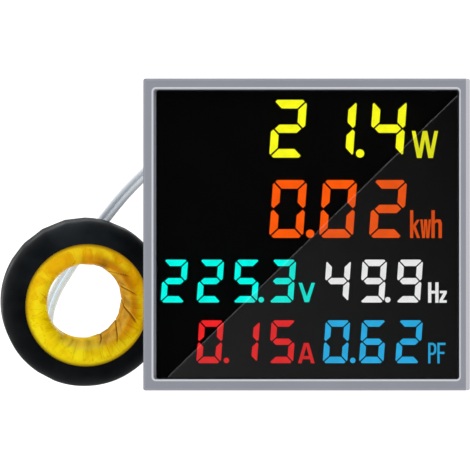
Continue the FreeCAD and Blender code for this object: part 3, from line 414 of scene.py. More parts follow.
# Angle near the window's front edge, how far it leans, depth and end radius in millimetres
sharp_creases = (
    (96, 4, 0.05, 10.4), (79, 3, 0.18, 10.2), (67, 5, 0.05, 10.6), (57, 22, 0.26, 13.0),
    (42, 15, 0.05, 11.0), (27, 15, 0.36, 12.8), (12, 15, 0.05, 11.2), (-5, 14, 0.38, 13.3),
    (-28, 12, 0.08, 11.6), (-38, 13.5, 0.30, 12.4), (-54, 9, 0.05, 10.6), (-66.5, 7, 0.22, 10.8),
    (-84, 4, 0.05, 10.6),
)
soft_creases = (
    (36, 14, 0.09, 11.4), (112, 8, 0.08, 11.6), (171, 7, 0.10, 12.2), (204, 8, 0.08, 11.8),
    (250, 5, 0.08, 11.8),
)
fine_crease_count = 80
draw = np.random.default_rng(21)
fine_creases = np.column_stack((
    draw.uniform(0, 360, fine_crease_count), draw.uniform(-4, 10, fine_crease_count),
    draw.uniform(0.01, 0.045, fine_crease_count), draw.uniform(11.2, 14.9, fine_crease_count),
))


def crease_line(start, lean, reach):
    """The crease's angle at each section point: it turns by its lean while it climbs the
    window's wall and runs out over the front to its end radius."""
    outwards = np.clip(from_bore / (reach * MM - bore_radius), 0, 1)
    return np.radians(start - lean * (outwards + 0.8 * climb - 0.6))


crease_depth = np.zeros_like(turn)
# How much painted highlight the ridge beside each crease gets
ridge_highlight = np.zeros_like(turn)
for start, lean, depth, reach in (*sharp_creases, *soft_creases, *fine_creases):
    apart = turned_from(crease_line(start, lean, reach), angle) * radius
    fade = 1 - smooth_step(radius, (reach - 1.2) * MM, reach * MM)
    fade = fade * smooth_step(climb, 0.02, 0.2 if depth > shallow_depth else 0.8)
    width = crease_width * (1 + 6 * max(0.0, shallow_depth - depth) / shallow_depth)
    shoulder = bell(apart - 2.4 * crease_width, 1.3 * crease_width)
    crease_depth += depth * MM * fade * (bell(apart, width) - 0.25 * shoulder)
    ridge_highlight += depth * fade * shoulder

# %% [markdown]
# ## Tape
#
# Between two sharp creases the film is drawn straight, so the window's outline is a row of
# chords. At the top the last turns pull its front edge up a little. All these forms add up to
# one height over the smooth section, and the sleeve presses them flat.

# %% Tape shape
drawn_straight = np.zeros_like(turn)
lines = [crease_line(start, lean, reach) for start, lean, depth, reach in sharp_creases]
for before, after in zip(lines, lines[1:]):
    apart = np.abs(turned_from((before + after) / 2, angle))
    depth = bore_radius * chord_depth((before - after) / 2, apart)
    drawn_straight = np.maximum(drawn_straight, depth)
drawn_straight *= in_bore

highest = 0.12 * MM
pressed = 0.05 * MM
lift = 0.36 * MM
near_bore = 1 - 0.6 * in_bore
raised = pucker_height * puckers * (1 - 0.7 * in_bore) + tape_step * (steps - 0.5) * near_bore
raised += edge_waviness * uneven * in_bore - crease_depth - wrinkle_depth * wrinkles
raised = np.where(raised > highest, highest + 0.3 * (raised - highest), raised)
raised = raised * bare_face - pressed * (1 - bare_face)
pulled_up = lift * in_bore * smooth_step(climb, 0.45, 0.7)
pulled_up = pulled_up * np.maximum(np.cos(angle - math.pi / 2), 0)
raised = raised * near_bore + drawn_straight - pulled_up
tape_points = carried_round(radius + raised * tape_out[:, 0], height + raised * tape_out[:, 1],
                            angle)
tape = grid_piece("wound_tape", tape_points)
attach(tape, "meter")
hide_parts("ct_tape")

# %% [markdown]
# ## Marks on the tape
#
# The finish has to know where it is. Each mark is a number from point to point of the tape:
# how deep in a crease, on which side of the ring, in the window, under the sleeve's edge. All
# of them place painted light and shade.

# %% Marks on the tape
shade_side = math.radians(20)
bore_side = math.radians(-35)
painted_lit_side = math.radians(250)
low_side = math.radians(262)

in_view = smooth_step(np.cos(angle - bore_side), -0.3, 0.3)
low_side_light = smooth_step(np.cos(angle - low_side), 0.82, 0.97)
shade_band = smooth_step(from_bore - 0.9 * MM * in_view, 0.2 * MM, 1.0 * MM)
shade_band = shade_band * (1 - smooth_step(from_bore, 2.2 * MM, 3.9 * MM))
in_lee = smooth_step(climb, 0.5, 0.6) * smooth_step(np.cos(angle - shade_side), -0.15, 0.75)
marks = {
    "crease_shade": np.clip((crease_depth - 0.04 * MM) / (0.26 * MM), 0, 1),
    "ridge_highlight": np.clip(ridge_highlight / 0.4, 0, 1),
    "wrinkle_shade": wrinkles,
    "facet_light_and_shade": facets * bare_face,
    "step_shade": steps,
    "shade": shade_band * in_lee,
    "bore": (1 - smooth_step(from_bore, 0.9 * MM, 2.2 * MM)) * in_view,
    "low_side_light": low_side_light,
    "rear_edge_shade": (1 - smooth_step(climb, 0.26, 0.36)) * (1 - 0.7 * low_side_light),
    "sleeve_edge_shadow": smooth_step(radius, sleeve_edge - 0.9 * MM, sleeve_edge),
    "painted_side_light": np.cos(angle - painted_lit_side),
}
for name, values in marks.items():
    point_values(tape, name, np.broadcast_to(values, turn.shape))

# %% [markdown]
# ## The sleeve's section
#
# The black sleeve is a soft rubber tube drawn over the ring and turned in at both faces. Its
# section is the outer skin, then back along the tape with a hair of room.

# %% Sleeve section
sleeve_room = 0.02 * MM
sleeve_lip = 0.3 * MM
sleeve_corners = np.vstack((
    corner_arc((sleeve_edge + sleeve_lip, ring_height - sleeve_lip), sleeve_lip, 180, 90),
    corner_arc((ring_radius - sleeve_round, ring_height - sleeve_round), sleeve_round, 90, 0),
    corner_arc((ring_radius - sleeve_round, sleeve_round), sleeve_round, 0, -90),
    corner_arc((sleeve_edge + sleeve_lip, sleeve_lip), sleeve_lip, -90, -180),
    ((sleeve_edge, tape_low - sleeve_room),),
    corner_arc(low_corner, tape_outer_round + sleeve_room, -90, 0),
    corner_arc(high_corner, tape_outer_round + sleeve_room, 0, 90),
    ((sleeve_edge, tape_high + sleeve_room),),
))[::-1]
sleeve_section, sleeve_along = even_steps(sleeve_corners, 150)
sleeve_out = outward_of(sleeve_section)
radius, height = sleeve_section[:, 0], sleeve_section[:, 1]
angle = np.linspace(0, 2 * math.pi, 560, endpoint=False)[:, None]
turn = angle / (2 * math.pi)

# %% [markdown]
# ## Sleeve
#
# Being soft, the sleeve shows what lies under it: it is a little flat here and there, and its
# inner edge waves. Only its skin sinks, which is all that lies further out than the tape.

# %% Sleeve shape
half_height = ring_height / 2
off_middle = np.abs(height - half_height)
off_corner = np.hypot(np.maximum(radius - low_corner[0], 0),
                      np.maximum(off_middle - (half_height - low_corner[1]), 0))
skin = np.maximum(
    smooth_step(off_corner, tape_outer_round + 0.1 * MM, tape_outer_round + 0.6 * MM),
    smooth_step(off_middle, half_height - tape_inset + 0.1 * MM, half_height - 0.15 * MM),
)

# Middle and half width of each flat place, in degrees round the ring
flat_places = ((111, 8.3), (96, 6.5), (127, 7.0), (66, 6.0), (143, 5.5), (241, 6.0))
deepest = 0.5 * MM
unevenness = 0.06 * MM
sunk = unevenness * (1 + ripple(turn, sleeve_along / sleeve_along[-1], 20, 7, 31))
for place, half_width in flat_places:
    apart = np.abs(turned_from(math.radians(place), angle))
    depth = ring_radius * np.maximum(chord_depth(math.radians(half_width), apart), 0)
    sunk = sunk + depth * smooth_step(radius, 17 * MM, 20 * MM)
sunk = np.minimum(sunk, deepest) * skin
wave = unevenness * ripple(turn, 0, 8, 2, 33)
wave = wave * (1 - smooth_step(radius, sleeve_edge + 0.2 * MM, sleeve_edge + 1.5 * MM))
sleeve_points = carried_round(radius - sunk * sleeve_out[:, 0] + wave,
                              height - sunk * sleeve_out[:, 1], angle)
sleeve = grid_piece("rubber_sleeve", sleeve_points)
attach(sleeve, "meter")
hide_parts("ct_sleeve")

# %% [markdown]
# ## Window pane
#
# The window is a 1 mm sheet of clear acrylic with polished edges. It is a stack of rounded
# rectangles, each a ring of points, closed by one point in the middle of each face. A hair of
# air stays between it and the black plate behind, as there is on a real one.

# %% Window pane
pane_low, pane_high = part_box("display_lens")
pane_gap = 0.03 * MM
pane_bevel = 0.35 * MM
pane_corner = 0.6 * MM
least_corner = 0.15 * MM
rear_bevel = 0.05 * MM
bevel_bend = 0.10 * MM
corner_points = 7


def rounded_ring(inset, z):
    """The pane's outline drawn in by inset at height z: four quarter circles joined by runs."""
    r = max(pane_corner - inset, least_corner)
    x0, y0 = pane_low.x + inset + r, pane_low.y + inset + r
    x1, y1 = pane_high.x - inset - r, pane_high.y - inset - r
    arcs = [corner_arc(centre, r, start, start + 90, corner_points) for centre, start in
            (((x1, y1), 0), ((x0, y1), 90), ((x0, y0), 180), ((x1, y0), 270))]
    return np.column_stack((np.vstack(arcs), np.full(4 * corner_points, z)))


def closing_point(z):
    """A ring of points that all lie in the pane's middle at height z."""
    middle = (pane_low + pane_high) / 2
    return np.tile((middle.x, middle.y, z), (4 * corner_points, 1))


pane_rear = pane_low.z + pane_gap
pane = grid_piece("window_pane", np.array([
    closing_point(pane_rear),
    rounded_ring(rear_bevel, pane_rear),
    rounded_ring(0.0, pane_rear + rear_bevel),
    rounded_ring(0.0, pane_high.z - pane_bevel),
    rounded_ring(bevel_bend, pane_high.z - bevel_bend),
    rounded_ring(pane_bevel, pane_high.z),
    closing_point(pane_high.z),
]), round_rows=False, smooth=False)
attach(pane, "meter")
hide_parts("display_lens")

# %% [markdown]
# ## Finishes
#
# A finish is a Principled shader whose colour, roughness and bump come from noise in the
# object's own coordinates, so that the grain has a real size in millimetres. Noise seldom
# leaves the range from 0.3 to 0.7, so that range is spread over what it varies. Tones are
# written as screen values and turned into light.

# %% Finish helpers
def light(red, green, blue):
    """Screen tones from 0 to 255 as linear light: the power curve of a screen, undone."""
    tones = np.array((red, green, blue)) / 255
    linear = np.where(tones <= 0.04045, tones / 12.92, ((tones + 0.055) / 1.055) ** 2.4)
    return tuple(float(v) for v in linear) + (1.0,)


def scaled(colour, factor):
    """A colour made lighter or darker by a factor."""
    return tuple(min(1.0, v * factor) for v in colour[:3]) + (1.0,)


noise_low, noise_high = 0.3, 0.7


class Finish:
    """A material with its shader at hand and short ways to add noise, colour and bump."""

    def __init__(self, name, roughness=0.5, metallic=0.0):
        self.material = bpy.data.materials.new(name)
        self.material.use_nodes = True
        self.tree = self.material.node_tree
        self.shader = self.tree.nodes["Principled BSDF"]
        self.set("Roughness", roughness)
        self.set("Metallic", metallic)
        self.place = self.add("ShaderNodeTexCoord").outputs["Object"]

    def add(self, kind, **settings):
        """A new node of that kind, with its settings."""
        node = self.tree.nodes.new(kind)
        for key, value in settings.items():
            setattr(node, key, value)
        return node

    def join(self, value, socket):
        """Feeds a socket from another node's output, or gives it a fixed value."""
        if isinstance(value, bpy.types.NodeSocket):
            self.tree.links.new(value, socket)
        else:
            socket.default_value = value

    def set(self, name, value):
        """Feeds one of the shader's own sockets."""
        self.join(value, self.shader.inputs[name])

    def across(self, axis):
        """The object's own coordinate along X, Y or Z."""
        node = self.add("ShaderNodeSeparateXYZ")
        self.join(self.place, node.inputs["Vector"])
        return node.outputs[axis]

    def noise(self, size, detail=2.0, stretch=(1, 1, 1), rough=0.5):
        """Noise whose blobs are about size metres across, stretched along each axis."""
        mapping = self.add("ShaderNodeMapping")
        mapping.inputs["Scale"].default_value = [1 / s for s in stretch]
        texture = self.add("ShaderNodeTexNoise")
        texture.inputs["Scale"].default_value = 0.5 / size
        texture.inputs["Detail"].default_value = detail
        texture.inputs["Roughness"].default_value = rough
        self.join(self.place, mapping.inputs["Vector"])
        self.join(mapping.outputs["Vector"], texture.inputs["Vector"])
        return texture.outputs["Fac"]

    def attribute(self, name):
        """A number that the mesh holds at each point."""
        return self.add("ShaderNodeAttribute", attribute_name=name).outputs["Fac"]

    def ramp(self, value, *stops):
        """Colours at places along a value from 0 to 1."""
        node = self.add("ShaderNodeValToRGB")
        elements = node.color_ramp.elements
        while len(elements) < len(stops):
            elements.new(0.5)
        for element, (place, colour) in zip(elements, stops):
            element.position = place
            element.color = colour
        self.join(value, node.inputs["Fac"])
        return node.outputs["Color"]

    def mottled(self, noise, first, second):
        """Two colours, mixed by noise."""
        return self.ramp(noise, (noise_low, first), (noise_high, second))

    def blend(self, share, first, second):
        """Mixes two colours, each a socket or a fixed colour, by a socket or a number."""
        node = self.add("ShaderNodeMix", data_type="RGBA")
        for socket, value in zip((node.inputs[0], node.inputs[6], node.inputs[7]),
                                 (share, first, second)):
            self.join(value, socket)
        return node.outputs[2]

    def between(self, value, low, high, out_low=0.0, out_high=1.0):
        """Maps a value's range low..high on to out_low..out_high, and holds it at the ends."""
        node = self.add("ShaderNodeMapRange")
        for name, number in (("Value", value), ("From Min", low), ("From Max", high),
                             ("To Min", out_low), ("To Max", out_high)):
            self.join(number, node.inputs[name])
        return node.outputs["Result"]

    def varied(self, noise, low, high):
        """A number that noise carries from low to high."""
        return self.between(noise, noise_low, noise_high, low, high)

    def reckon(self, kind, first, second=0.0):
        """One step of arithmetic on sockets or numbers."""
        node = self.add("ShaderNodeMath", operation=kind)
        self.join(first, node.inputs[0])
        self.join(second, node.inputs[1])
        return node.outputs["Value"]

    def bump(self, value, depth):
        """Bump of that many metres between the value's 0 and 1, on top of any before it."""
        node = self.add("ShaderNodeBump")
        node.inputs["Strength"].default_value = 1.0
        node.inputs["Distance"].default_value = depth
        self.join(value, node.inputs["Height"])
        before = self.shader.inputs["Normal"]
        if before.is_linked:
            self.join(before.links[0].from_socket, node.inputs["Normal"])
        self.join(node.outputs["Normal"], before)


def dress(finish, *pieces):
    """Gives each piece that finish and no other."""
    for piece in pieces:
        piece.data.materials.clear()
        piece.data.materials.append(finish.material)


# %% [markdown]
# ## Plastic and plated metal
#
# Most pieces need one of two finishes. Plastic has a fine grain and drifts a little in colour
# and in gloss. Plated metal has streaks in its gloss, stretched the way it was drawn.

# %% Plastic and metal
def moulded(name, colour, roughness, grain=0.15 * MM, depth=0.006 * MM, mottle=0.06):
    """Moulded plastic: fine grain as bump, and slow drifts of colour and of gloss."""
    finish = Finish(name)
    finish.set("Base Color", finish.mottled(finish.noise(6 * MM, 3.0), scaled(colour, 1 - mottle),
                                            scaled(colour, 1 + mottle)))
    finish.set("Roughness", finish.varied(finish.noise(1.5 * MM), roughness - 0.05,
                                          roughness + 0.05))
    finish.bump(finish.noise(grain, 2.0), depth)
    return finish


def plated(name, colour, roughness, stretch=(1, 1, 1), depth=0.004 * MM):
    """Plated metal: drawn streaks in the gloss and small pits."""
    finish = Finish(name, metallic=1.0)
    streaks = finish.noise(0.25 * MM, 3.0, stretch)
    finish.set("Base Color", finish.mottled(finish.noise(2.5 * MM), scaled(colour, 0.85),
                                            scaled(colour, 1.08)))
    finish.set("Roughness", finish.varied(streaks, roughness - 0.08, roughness + 0.12))
    finish.bump(streaks, depth)
    return finish


# %% [markdown]
# ## Places on the bezel
#
# The bevel round the window is polished and painted with a highlight, a strip down the right
# side is painted paler as light, and the frame's outermost edge is painted darker as shade, so
# the finish has to know where it is. The distance of a point from the window's edge says where
# the bevel is. Its line runs a tenth of a millimetre up and left of the middle, and only what
# stands above the pane's seat is polished and painted.

# %% Places on the bezel
window_half = Vector((36.5 * MM, 34.68 * MM))
line_middle = Vector((-0.11 * MM, 0.08 * MM))
window_corner = 0.65 * MM
lip_width = 0.39 * MM
bezel_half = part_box("front_bezel")[1].xy
edge_width = 0.3 * MM
strip_start = 38.0 * MM
seat_height, face_height = 2.8 * MM, 3.4 * MM
blur, wide_blur = 0.05 * MM, 0.1 * MM

bezel = Finish("moulded_grey_bezel")


def past(axis, half, middle=0.0):
    """How far a point lies past half a width from the middle along an axis."""
    off_middle = bezel.reckon("SUBTRACT", bezel.across(axis), middle)
    return bezel.reckon("SUBTRACT", bezel.reckon("ABSOLUTE", off_middle), half)


def edge_at(value, place, spread=blur):
    """0 below a place and 1 above it, with a hair of blur between."""
    return bezel.between(value, place - spread, place + spread)


# The distance from a rounded rectangle: the root of the squares of both distances from the
# inner one that its corners are drawn about, less the corner's radius
squares = [bezel.reckon("POWER", bezel.reckon("MAXIMUM", past(axis, half - window_corner, middle)),
                        2.0)
           for axis, half, middle in zip("XY", window_half, line_middle)]
from_window = bezel.reckon("SUBTRACT", bezel.reckon("POWER", bezel.reckon("ADD", *squares), 0.5),
                           window_corner)
on_lip = bezel.reckon("MULTIPLY", edge_at(from_window, 0.0),
                      bezel.between(from_window, lip_width + blur, lip_width - blur))
lip_polish_and_highlight = bezel.reckon("MULTIPLY", on_lip, edge_at(bezel.across("Z"), seat_height, wide_blur))
on_painted_light_strip = bezel.reckon("MULTIPLY", edge_at(bezel.across("X"), strip_start),
                        edge_at(bezel.across("Z"), face_height, wide_blur))
to_edge = bezel.reckon("MAXIMUM", *[past(axis, half) for axis, half in zip("XY", bezel_half)])
on_painted_edge_shade = bezel.between(to_edge, -edge_width, 0.0)

# %% [markdown]
# ## Bezel
#
# The bezel is moulded in mid grey. Its face has the fine grain of a sparked mould, and the
# polished bevel carries a painted highlight, a thin bright line of paler grey. A painted light
# pales a strip down the right side, and painted shade darkens the outermost edge.

# %% Bezel finish
bezel_grey = light(142, 145, 155)
painted_lip_highlight = light(210, 213, 218)
painted_light_strip_grey = light(184, 184, 190)
edge_shade = 0.62
face_roughness, lip_roughness = 0.42, 0.2

face_grey = bezel.mottled(bezel.noise(9 * MM, 3.0), scaled(bezel_grey, 0.97),
                          scaled(bezel_grey, 1.04))
# Painted shade darkens the frame's outermost edge
face_grey = bezel.blend(on_painted_edge_shade, face_grey, scaled(bezel_grey, edge_shade))
# Painted light pales a strip down the right side
face_grey = bezel.blend(on_painted_light_strip, face_grey, painted_light_strip_grey)
# The polished bevel gets a painted highlight in paler grey; its polish is the lower roughness
bezel.set("Base Color", bezel.blend(lip_polish_and_highlight, face_grey, painted_lip_highlight))
bezel.set("Roughness", bezel.between(lip_polish_and_highlight, 0, 1, face_roughness, lip_roughness))
bezel.bump(bezel.noise(0.12 * MM, 2.0), 0.004 * MM)
dress(bezel, nodes["front_bezel"])

# %% [markdown]
# ## Pane and plate
#
# The pane is clear: what makes the window black is the matt plate close behind it. The
# diffusers that are off stay as dark as the plate.

# %% Pane and plate
acrylic = Finish("clear_acrylic", roughness=0.0)
acrylic.set("Transmission Weight", 1.0)
acrylic.set("IOR", 1.49)
acrylic.set("Base Color", acrylic.mottled(acrylic.noise(20 * MM), (0.96, 0.97, 0.98, 1),
                                          (0.98, 0.98, 0.98, 1)))
dress(acrylic, pane)

plate_black = (0.024, 0.024, 0.024, 1)
for name, grain, node in (("matt_black_plate", 0.1 * MM, "display_mask"),
                          ("dark_diffuser", 0.2 * MM, "unlit_segments")):
    dark = moulded(name, plate_black, 0.9, grain)
    dark.set("Specular IOR Level", 0.0)
    dress(dark, nodes[node])

# %% [markdown]
# ## Lit diffusers
#
# Light comes out of coloured diffusers that stand in the black plate's windows. A lit one is a
# little brighter over its lamp than at its ends, so its glow is varied by slow noise. The unit
# letters glow less than the digits. Everything under the pane's slanting sheen is painted
# dimmer too, a painted shade on the glow that goes with the mirrored sheen.

# %% Lit diffusers
sheen_top = Vector((36.4 * MM, 33.3 * MM))
sheen_left = Vector((-33.3 * MM, -34.5 * MM))
painted_sheen_dim_share = 0.82
pane_loss = 0.92

# Screen tone, where the unit's letters start in millimetres, their share of the digits' glow
readings = {
    "power": ((249, 251, 28), 24.7, 0.92), "energy": ((253, 90, 10), 24.3, 0.82),
    "voltage": ((4, 250, 230), -2.2, 0.9), "frequency": ((255, 255, 255), 28.7, 1.0),
    "current": ((238, 36, 38), -2.4, 0.88), "power_factor": ((38, 182, 240), 28.8, 0.92),
}


def lit(name, tone, letter_start, letter_share):
    """A glowing diffuser: its own colour, with the glow varied by a few percent, weaker in the
    unit letters, which begin at letter_start along X, and painted weaker again below the sheen's
    edge, as shade that goes with the sheen, where slope * (x - x of its top) + y of its top - y
    is more than 0."""
    finish = Finish(name, roughness=0.35)
    glow = light(*tone)
    full = 1 / pane_loss
    finish.set("Emission Color", finish.mottled(finish.noise(1.2 * MM, 1.0), scaled(glow, 0.92),
                                                scaled(glow, 1.06)))
    strength = finish.between(finish.across("X"), letter_start, letter_start + 0.05 * MM, full,
                              full * letter_share)
    slope = (sheen_top.y - sheen_left.y) / (sheen_top.x - sheen_left.x)
    edge = finish.reckon("ADD", finish.reckon("MULTIPLY", finish.across("X"), slope),
                         sheen_top.y - slope * sheen_top.x)
    below = finish.reckon("SUBTRACT", edge, finish.across("Y"))
    # Painted shade: the glow is turned down below the sheen's edge, to go with the sheen
    painted_sheen_dimming = finish.between(below, -0.1 * MM, 0.1 * MM, 1.0, painted_sheen_dim_share)
    finish.set("Emission Strength", finish.reckon("MULTIPLY", strength, painted_sheen_dimming))
    finish.set("Base Color", finish.mottled(finish.noise(0.4 * MM), scaled(glow, 0.05),
                                            scaled(glow, 0.07)))
    return finish


for reading, (tone, letter_start, letter_share) in readings.items():
    dress(lit("lit_" + reading, tone, letter_start * MM, letter_share),
          nodes[reading + "_segments"])
dress(moulded("white_light_block", light(226, 226, 222), 0.5), nodes["display_reflector"])
dress(moulded("lamp_phosphor", light(238, 210, 120), 0.4, 0.1 * MM), nodes["led_chips"])

# %% [markdown]
# ## Boards and components
#
# The electronics hide inside the case. Green lacquer over copper tracks, matt chips, lacquered
# resistors and sleeved capacitors each get a finish of their own, because a mesh is looked at
# from every side once it is on its own.

# %% Board and component finishes
track_pitch = 9 * MM
board = Finish("green_board", roughness=0.3)
tracks = board.add("ShaderNodeTexBrick")
for key, value in (("Vector", board.place), ("Scale", 1 / track_pitch), ("Mortar Size", 0.03),
                   ("Mortar Smooth", 0.1), ("Color1", light(18, 78, 40)),
                   ("Color2", light(22, 92, 46)), ("Mortar", light(46, 132, 70))):
    board.join(value, tracks.inputs[key])
weave = board.noise(0.5 * MM, 2.0)
board.set("Base Color", board.blend(board.varied(weave, 0.0, 0.25), tracks.outputs["Color"],
                                    light(12, 60, 30)))
board.bump(tracks.outputs["Fac"], -0.03 * MM)
board.bump(weave, 0.004 * MM)
dress(board, nodes["display_board"], nodes["main_board"])

chip = moulded("black_chip", light(34, 34, 36), 0.6, 0.1 * MM)
dress(chip, *(nodes[name] for name in ("display_driver_chips", "board_pin_headers",
                                       "metering_chip", "control_chip", "rectifier")))
dress(moulded("grey_film_capacitor", light(150, 152, 156), 0.35), nodes["film_capacitor"])
dress(moulded("dark_blue_sleeve", light(26, 34, 66), 0.25, 0.4 * MM),
      nodes["electrolytic_capacitors"])
dress(moulded("dipped_blue_disc", light(40, 88, 150), 0.25, 0.8 * MM, 0.03 * MM),
      nodes["varistor"])
dress(moulded("green_lacquer", light(66, 122, 84), 0.25, 0.6 * MM, 0.02 * MM),
      nodes["fuse_resistor"])

band_pitch = 1.3 * MM
banded = Finish("banded_blue_resistor", roughness=0.25)
wave = banded.reckon("SINE", banded.reckon("MULTIPLY", banded.across("Y"),
                                           2 * math.pi / band_pitch))
body_blue = banded.mottled(banded.noise(1 * MM), light(120, 170, 190), light(136, 186, 204))
banded.set("Base Color", banded.blend(banded.between(wave, 0.55, 0.65), body_blue,
                                      light(120, 60, 30)))
dress(banded, nodes["sampling_resistors"])

tin = plated("tinned_brass", light(214, 212, 204), 0.3)
dress(tin, *(nodes[name] for name in ("header_pins", "contact_plates", "lead_bare_ends")))
zinc = plated("zinc_plated_steel", light(206, 208, 208), 0.28, (1, 1, 4))
dress(zinc, nodes["board_screws"], nodes["crystal"],
      *(nodes[f"{kind}_{pole}"] for kind in ("terminal_screw", "clamp_cage")
        for pole in range(1, 5)))
dress(plated("wound_strip_steel", light(150, 150, 154), 0.35, (6, 6, 1)), nodes["ct_core"])
dress(plated("enamelled_copper", light(198, 122, 80), 0.25, (1, 1, 6)), nodes["ct_winding"])

# %% [markdown]
# ## Case, terminals and button
#
# The case behind the panel is black and slightly shiny, with the same sparked grain. The
# terminal block is the usual green, and the button is a smooth grey.

# %% Case finishes
case = moulded("black_case", light(28, 28, 30), 0.45, 0.14 * MM, 0.008 * MM, 0.06)
case.set("Specular IOR Level", 0.25)
dress(case, *(nodes[name] for name in ("rear_case", "snap_tongue_top", "snap_tongue_bottom",
                                       "tact_switch", "switch_actuator")))
dress(moulded("green_terminal_block", light(40, 132, 72), 0.4, 0.2 * MM),
      nodes["terminal_block"])
dress(moulded("grey_button", light(120, 122, 126), 0.3, 0.3 * MM), nodes["reset_plunger"])

# %% [markdown]
# ## Tape finish
#
# The tape is a glossy golden film. Layers of colour lie over its mottled base, each where one
# of the tape's marks says, and all of them are painted light and shade: the lower left of the
# ring painted paler and the upper right deeper, a painted shade of deep orange round the
# window's upper and right side, the window's wall painted tan-gold as shade and paler at its low
# side as light, paler and deeper facets with a thin dark wrinkle between them, in every crease a
# dark line with a pale highlight on the ridge beside it, and shade at the rear edge, under the
# sleeve's edge and at the foot of each turn's step. Near the bezel a weak glow is painted light
# that lifts the shade which the bezel casts on the film.

# %% Tape finish
film = Finish("crinkled_yellow_film")
patches = film.noise(3.5 * MM, 4.0, rough=0.6)
streaks = film.noise(0.9 * MM, 3.0)
folds = film.between(film.noise(1.1 * MM, 2.0), 0.35, 0.65)
# The window's wall is painted tan-gold as shade, with its low side painted paler as light
bore_wall_shade_and_light = film.blend(folds, light(184, 134, 46), light(222, 172, 72))
bore_wall_shade_and_light = film.blend(film.attribute("low_side_light"), bore_wall_shade_and_light, light(252, 220, 64))
# Deep orange is the colour of the painted shade round the window
orange = film.blend(film.between(patches, 0.35, 0.65), light(184, 98, 0), light(214, 132, 4))
base = film.ramp(film.reckon("ADD", film.reckon("MULTIPLY", patches, 0.75),
                             film.reckon("MULTIPLY", streaks, 0.25)),
                 (0.36, light(220, 146, 0)), (0.46, light(236, 182, 0)),
                 (0.55, light(247, 204, 0)), (0.66, light(255, 230, 0)))

# The mark that a layer follows, the mark's values for none and for most of it, how much of the
# base it then covers, and its colour
layers = (
    # The first two are painted light and shade by side: paler lower left, deeper upper right
    ("painted_side_light", -0.3, 0.9, 0.75, light(255, 234, 0)),
    ("painted_side_light", 0.2, -0.9, 0.75, light(255, 192, 0)),
    # Facets painted paler and deeper, as light and shade; they have no shape of their own
    ("facet_light_and_shade", -0.1, 0.3, 0.4, light(255, 240, 30)),
    ("facet_light_and_shade", -0.05, -0.6, 0.24, light(210, 134, 0)),
    # Painted shade in the thin wrinkles between facets
    ("wrinkle_shade", 0.0, 1.0, 0.32, light(186, 116, 0)),
    # Painted shade on the window's wall, tan-gold, paler at its low side as painted light
    ("bore", 0.0, 1.0, 0.9, bore_wall_shade_and_light),
    # Painted shade in deep orange round the window's upper and right side
    ("shade", 0.0, 1.0, 0.85, orange),
    # Painted highlight on the ridge beside each crease
    ("ridge_highlight", 0.15, 1.0, 0.32, light(236, 182, 66)),
    # Painted shade along the window's rear edge
    ("rear_edge_shade", 0.0, 1.0, 0.6, light(96, 70, 30)),
    # Painted shadow under the sleeve's edge
    ("sleeve_edge_shadow", 0.0, 1.0, 0.75, light(120, 78, 14)),
    # Painted shade at the foot of each turn's step
    ("step_shade", 0.08, 0.0, 0.28, light(150, 84, 8)),
    # Painted shade: a dark line in every crease
    ("crease_shade", 0.0, 1.0, 1.0, light(70, 34, 4)),
)
for mark, none_at, most_at, most, colour in layers:
    share = film.between(film.attribute(mark), none_at, most_at, 0.0, most)
    base = film.blend(share, base, colour)
film.set("Base Color", base)
film.set("Roughness", film.varied(streaks, 0.22, 0.42))
film.set("Specular IOR Level", film.between(film.attribute("bore"), 0.0, 0.6, 0.06, 0.0))
# A weak painted glow near the bezel lifts the shade that the bezel casts on the film
film.set("Emission Color", light(255, 176, 0))
film.set("Emission Strength", film.between(film.across("X"), -50 * MM, -40 * MM, 0.0, 0.14))
film.bump(film.noise(0.5 * MM, 3.0), 0.02 * MM)
dress(film, tape)

# %% [markdown]
# ## Rubber and lead finishes
#
# The rubber is nearly black with a satin skin, painted paler towards the top as a painted
# sheen. The lead is a soft grey-white vinyl with a painted glow, strongest where it lies on
# the table, that lifts it out of its shade.

# %% Rubber and lead finishes
rubber = Finish("black_rubber")
rubber.set("Specular IOR Level", 0.04)
skin_mottle = rubber.noise(5 * MM, 4.0)
lower_skin, painted_sheen_skin = (rubber.ramp(skin_mottle, (0.35, light(*deep)), (0.65, light(*pale)))
                       for deep, pale in (((7, 9, 11), (20, 23, 25)),
                                          ((20, 24, 27), (36, 41, 45))))
# Painted sheen: the skin is paler towards the top
rubber.set("Base Color", rubber.blend(rubber.between(rubber.across("Y"), -16 * MM, 2 * MM),
                                      lower_skin, painted_sheen_skin))
rubber.set("Roughness", rubber.varied(rubber.noise(2 * MM, 3.0), 0.42, 0.6))
rubber.bump(rubber.noise(0.3 * MM, 3.0), 0.008 * MM)
rubber.bump(rubber.noise(3 * MM, 2.0), 0.08 * MM)
dress(rubber, sleeve, nodes["ct_lead_boot"])

vinyl = moulded("soft_white_vinyl", light(228, 231, 235), 0.4, 0.3 * MM, 0.004 * MM, 0.03)
# A painted glow, strongest where the lead lies low on the table, lifts it out of its shade
vinyl.set("Emission Color", light(186, 224, 250))
vinyl.set("Emission Strength", vinyl.between(vinyl.across("Z"), -29.0 * MM, -26.5 * MM,
                                             0.36, 0.07))
dress(vinyl, *lead_wires)

# %% [markdown]
# ## Table, sky and lamp
#
# A white table under an even white sky gives the plain background. A weak lamp at the upper
# right makes the bevels differ.

# %% Table, sky and lamp
def flat_piece(name, corners):
    """A single face through the corners, turned upwards or downwards by their order."""
    mesh = bpy.data.meshes.new(name)
    mesh.from_pydata(corners, [], [tuple(range(len(corners)))])
    piece = placed(name, mesh)
    return piece


def level_square(half, z):
    """The corners of a level square about the middle, in the order that turns it upwards."""
    return [(-half, -half, z), (half, -half, z), (half, half, z), (-half, half, z)]


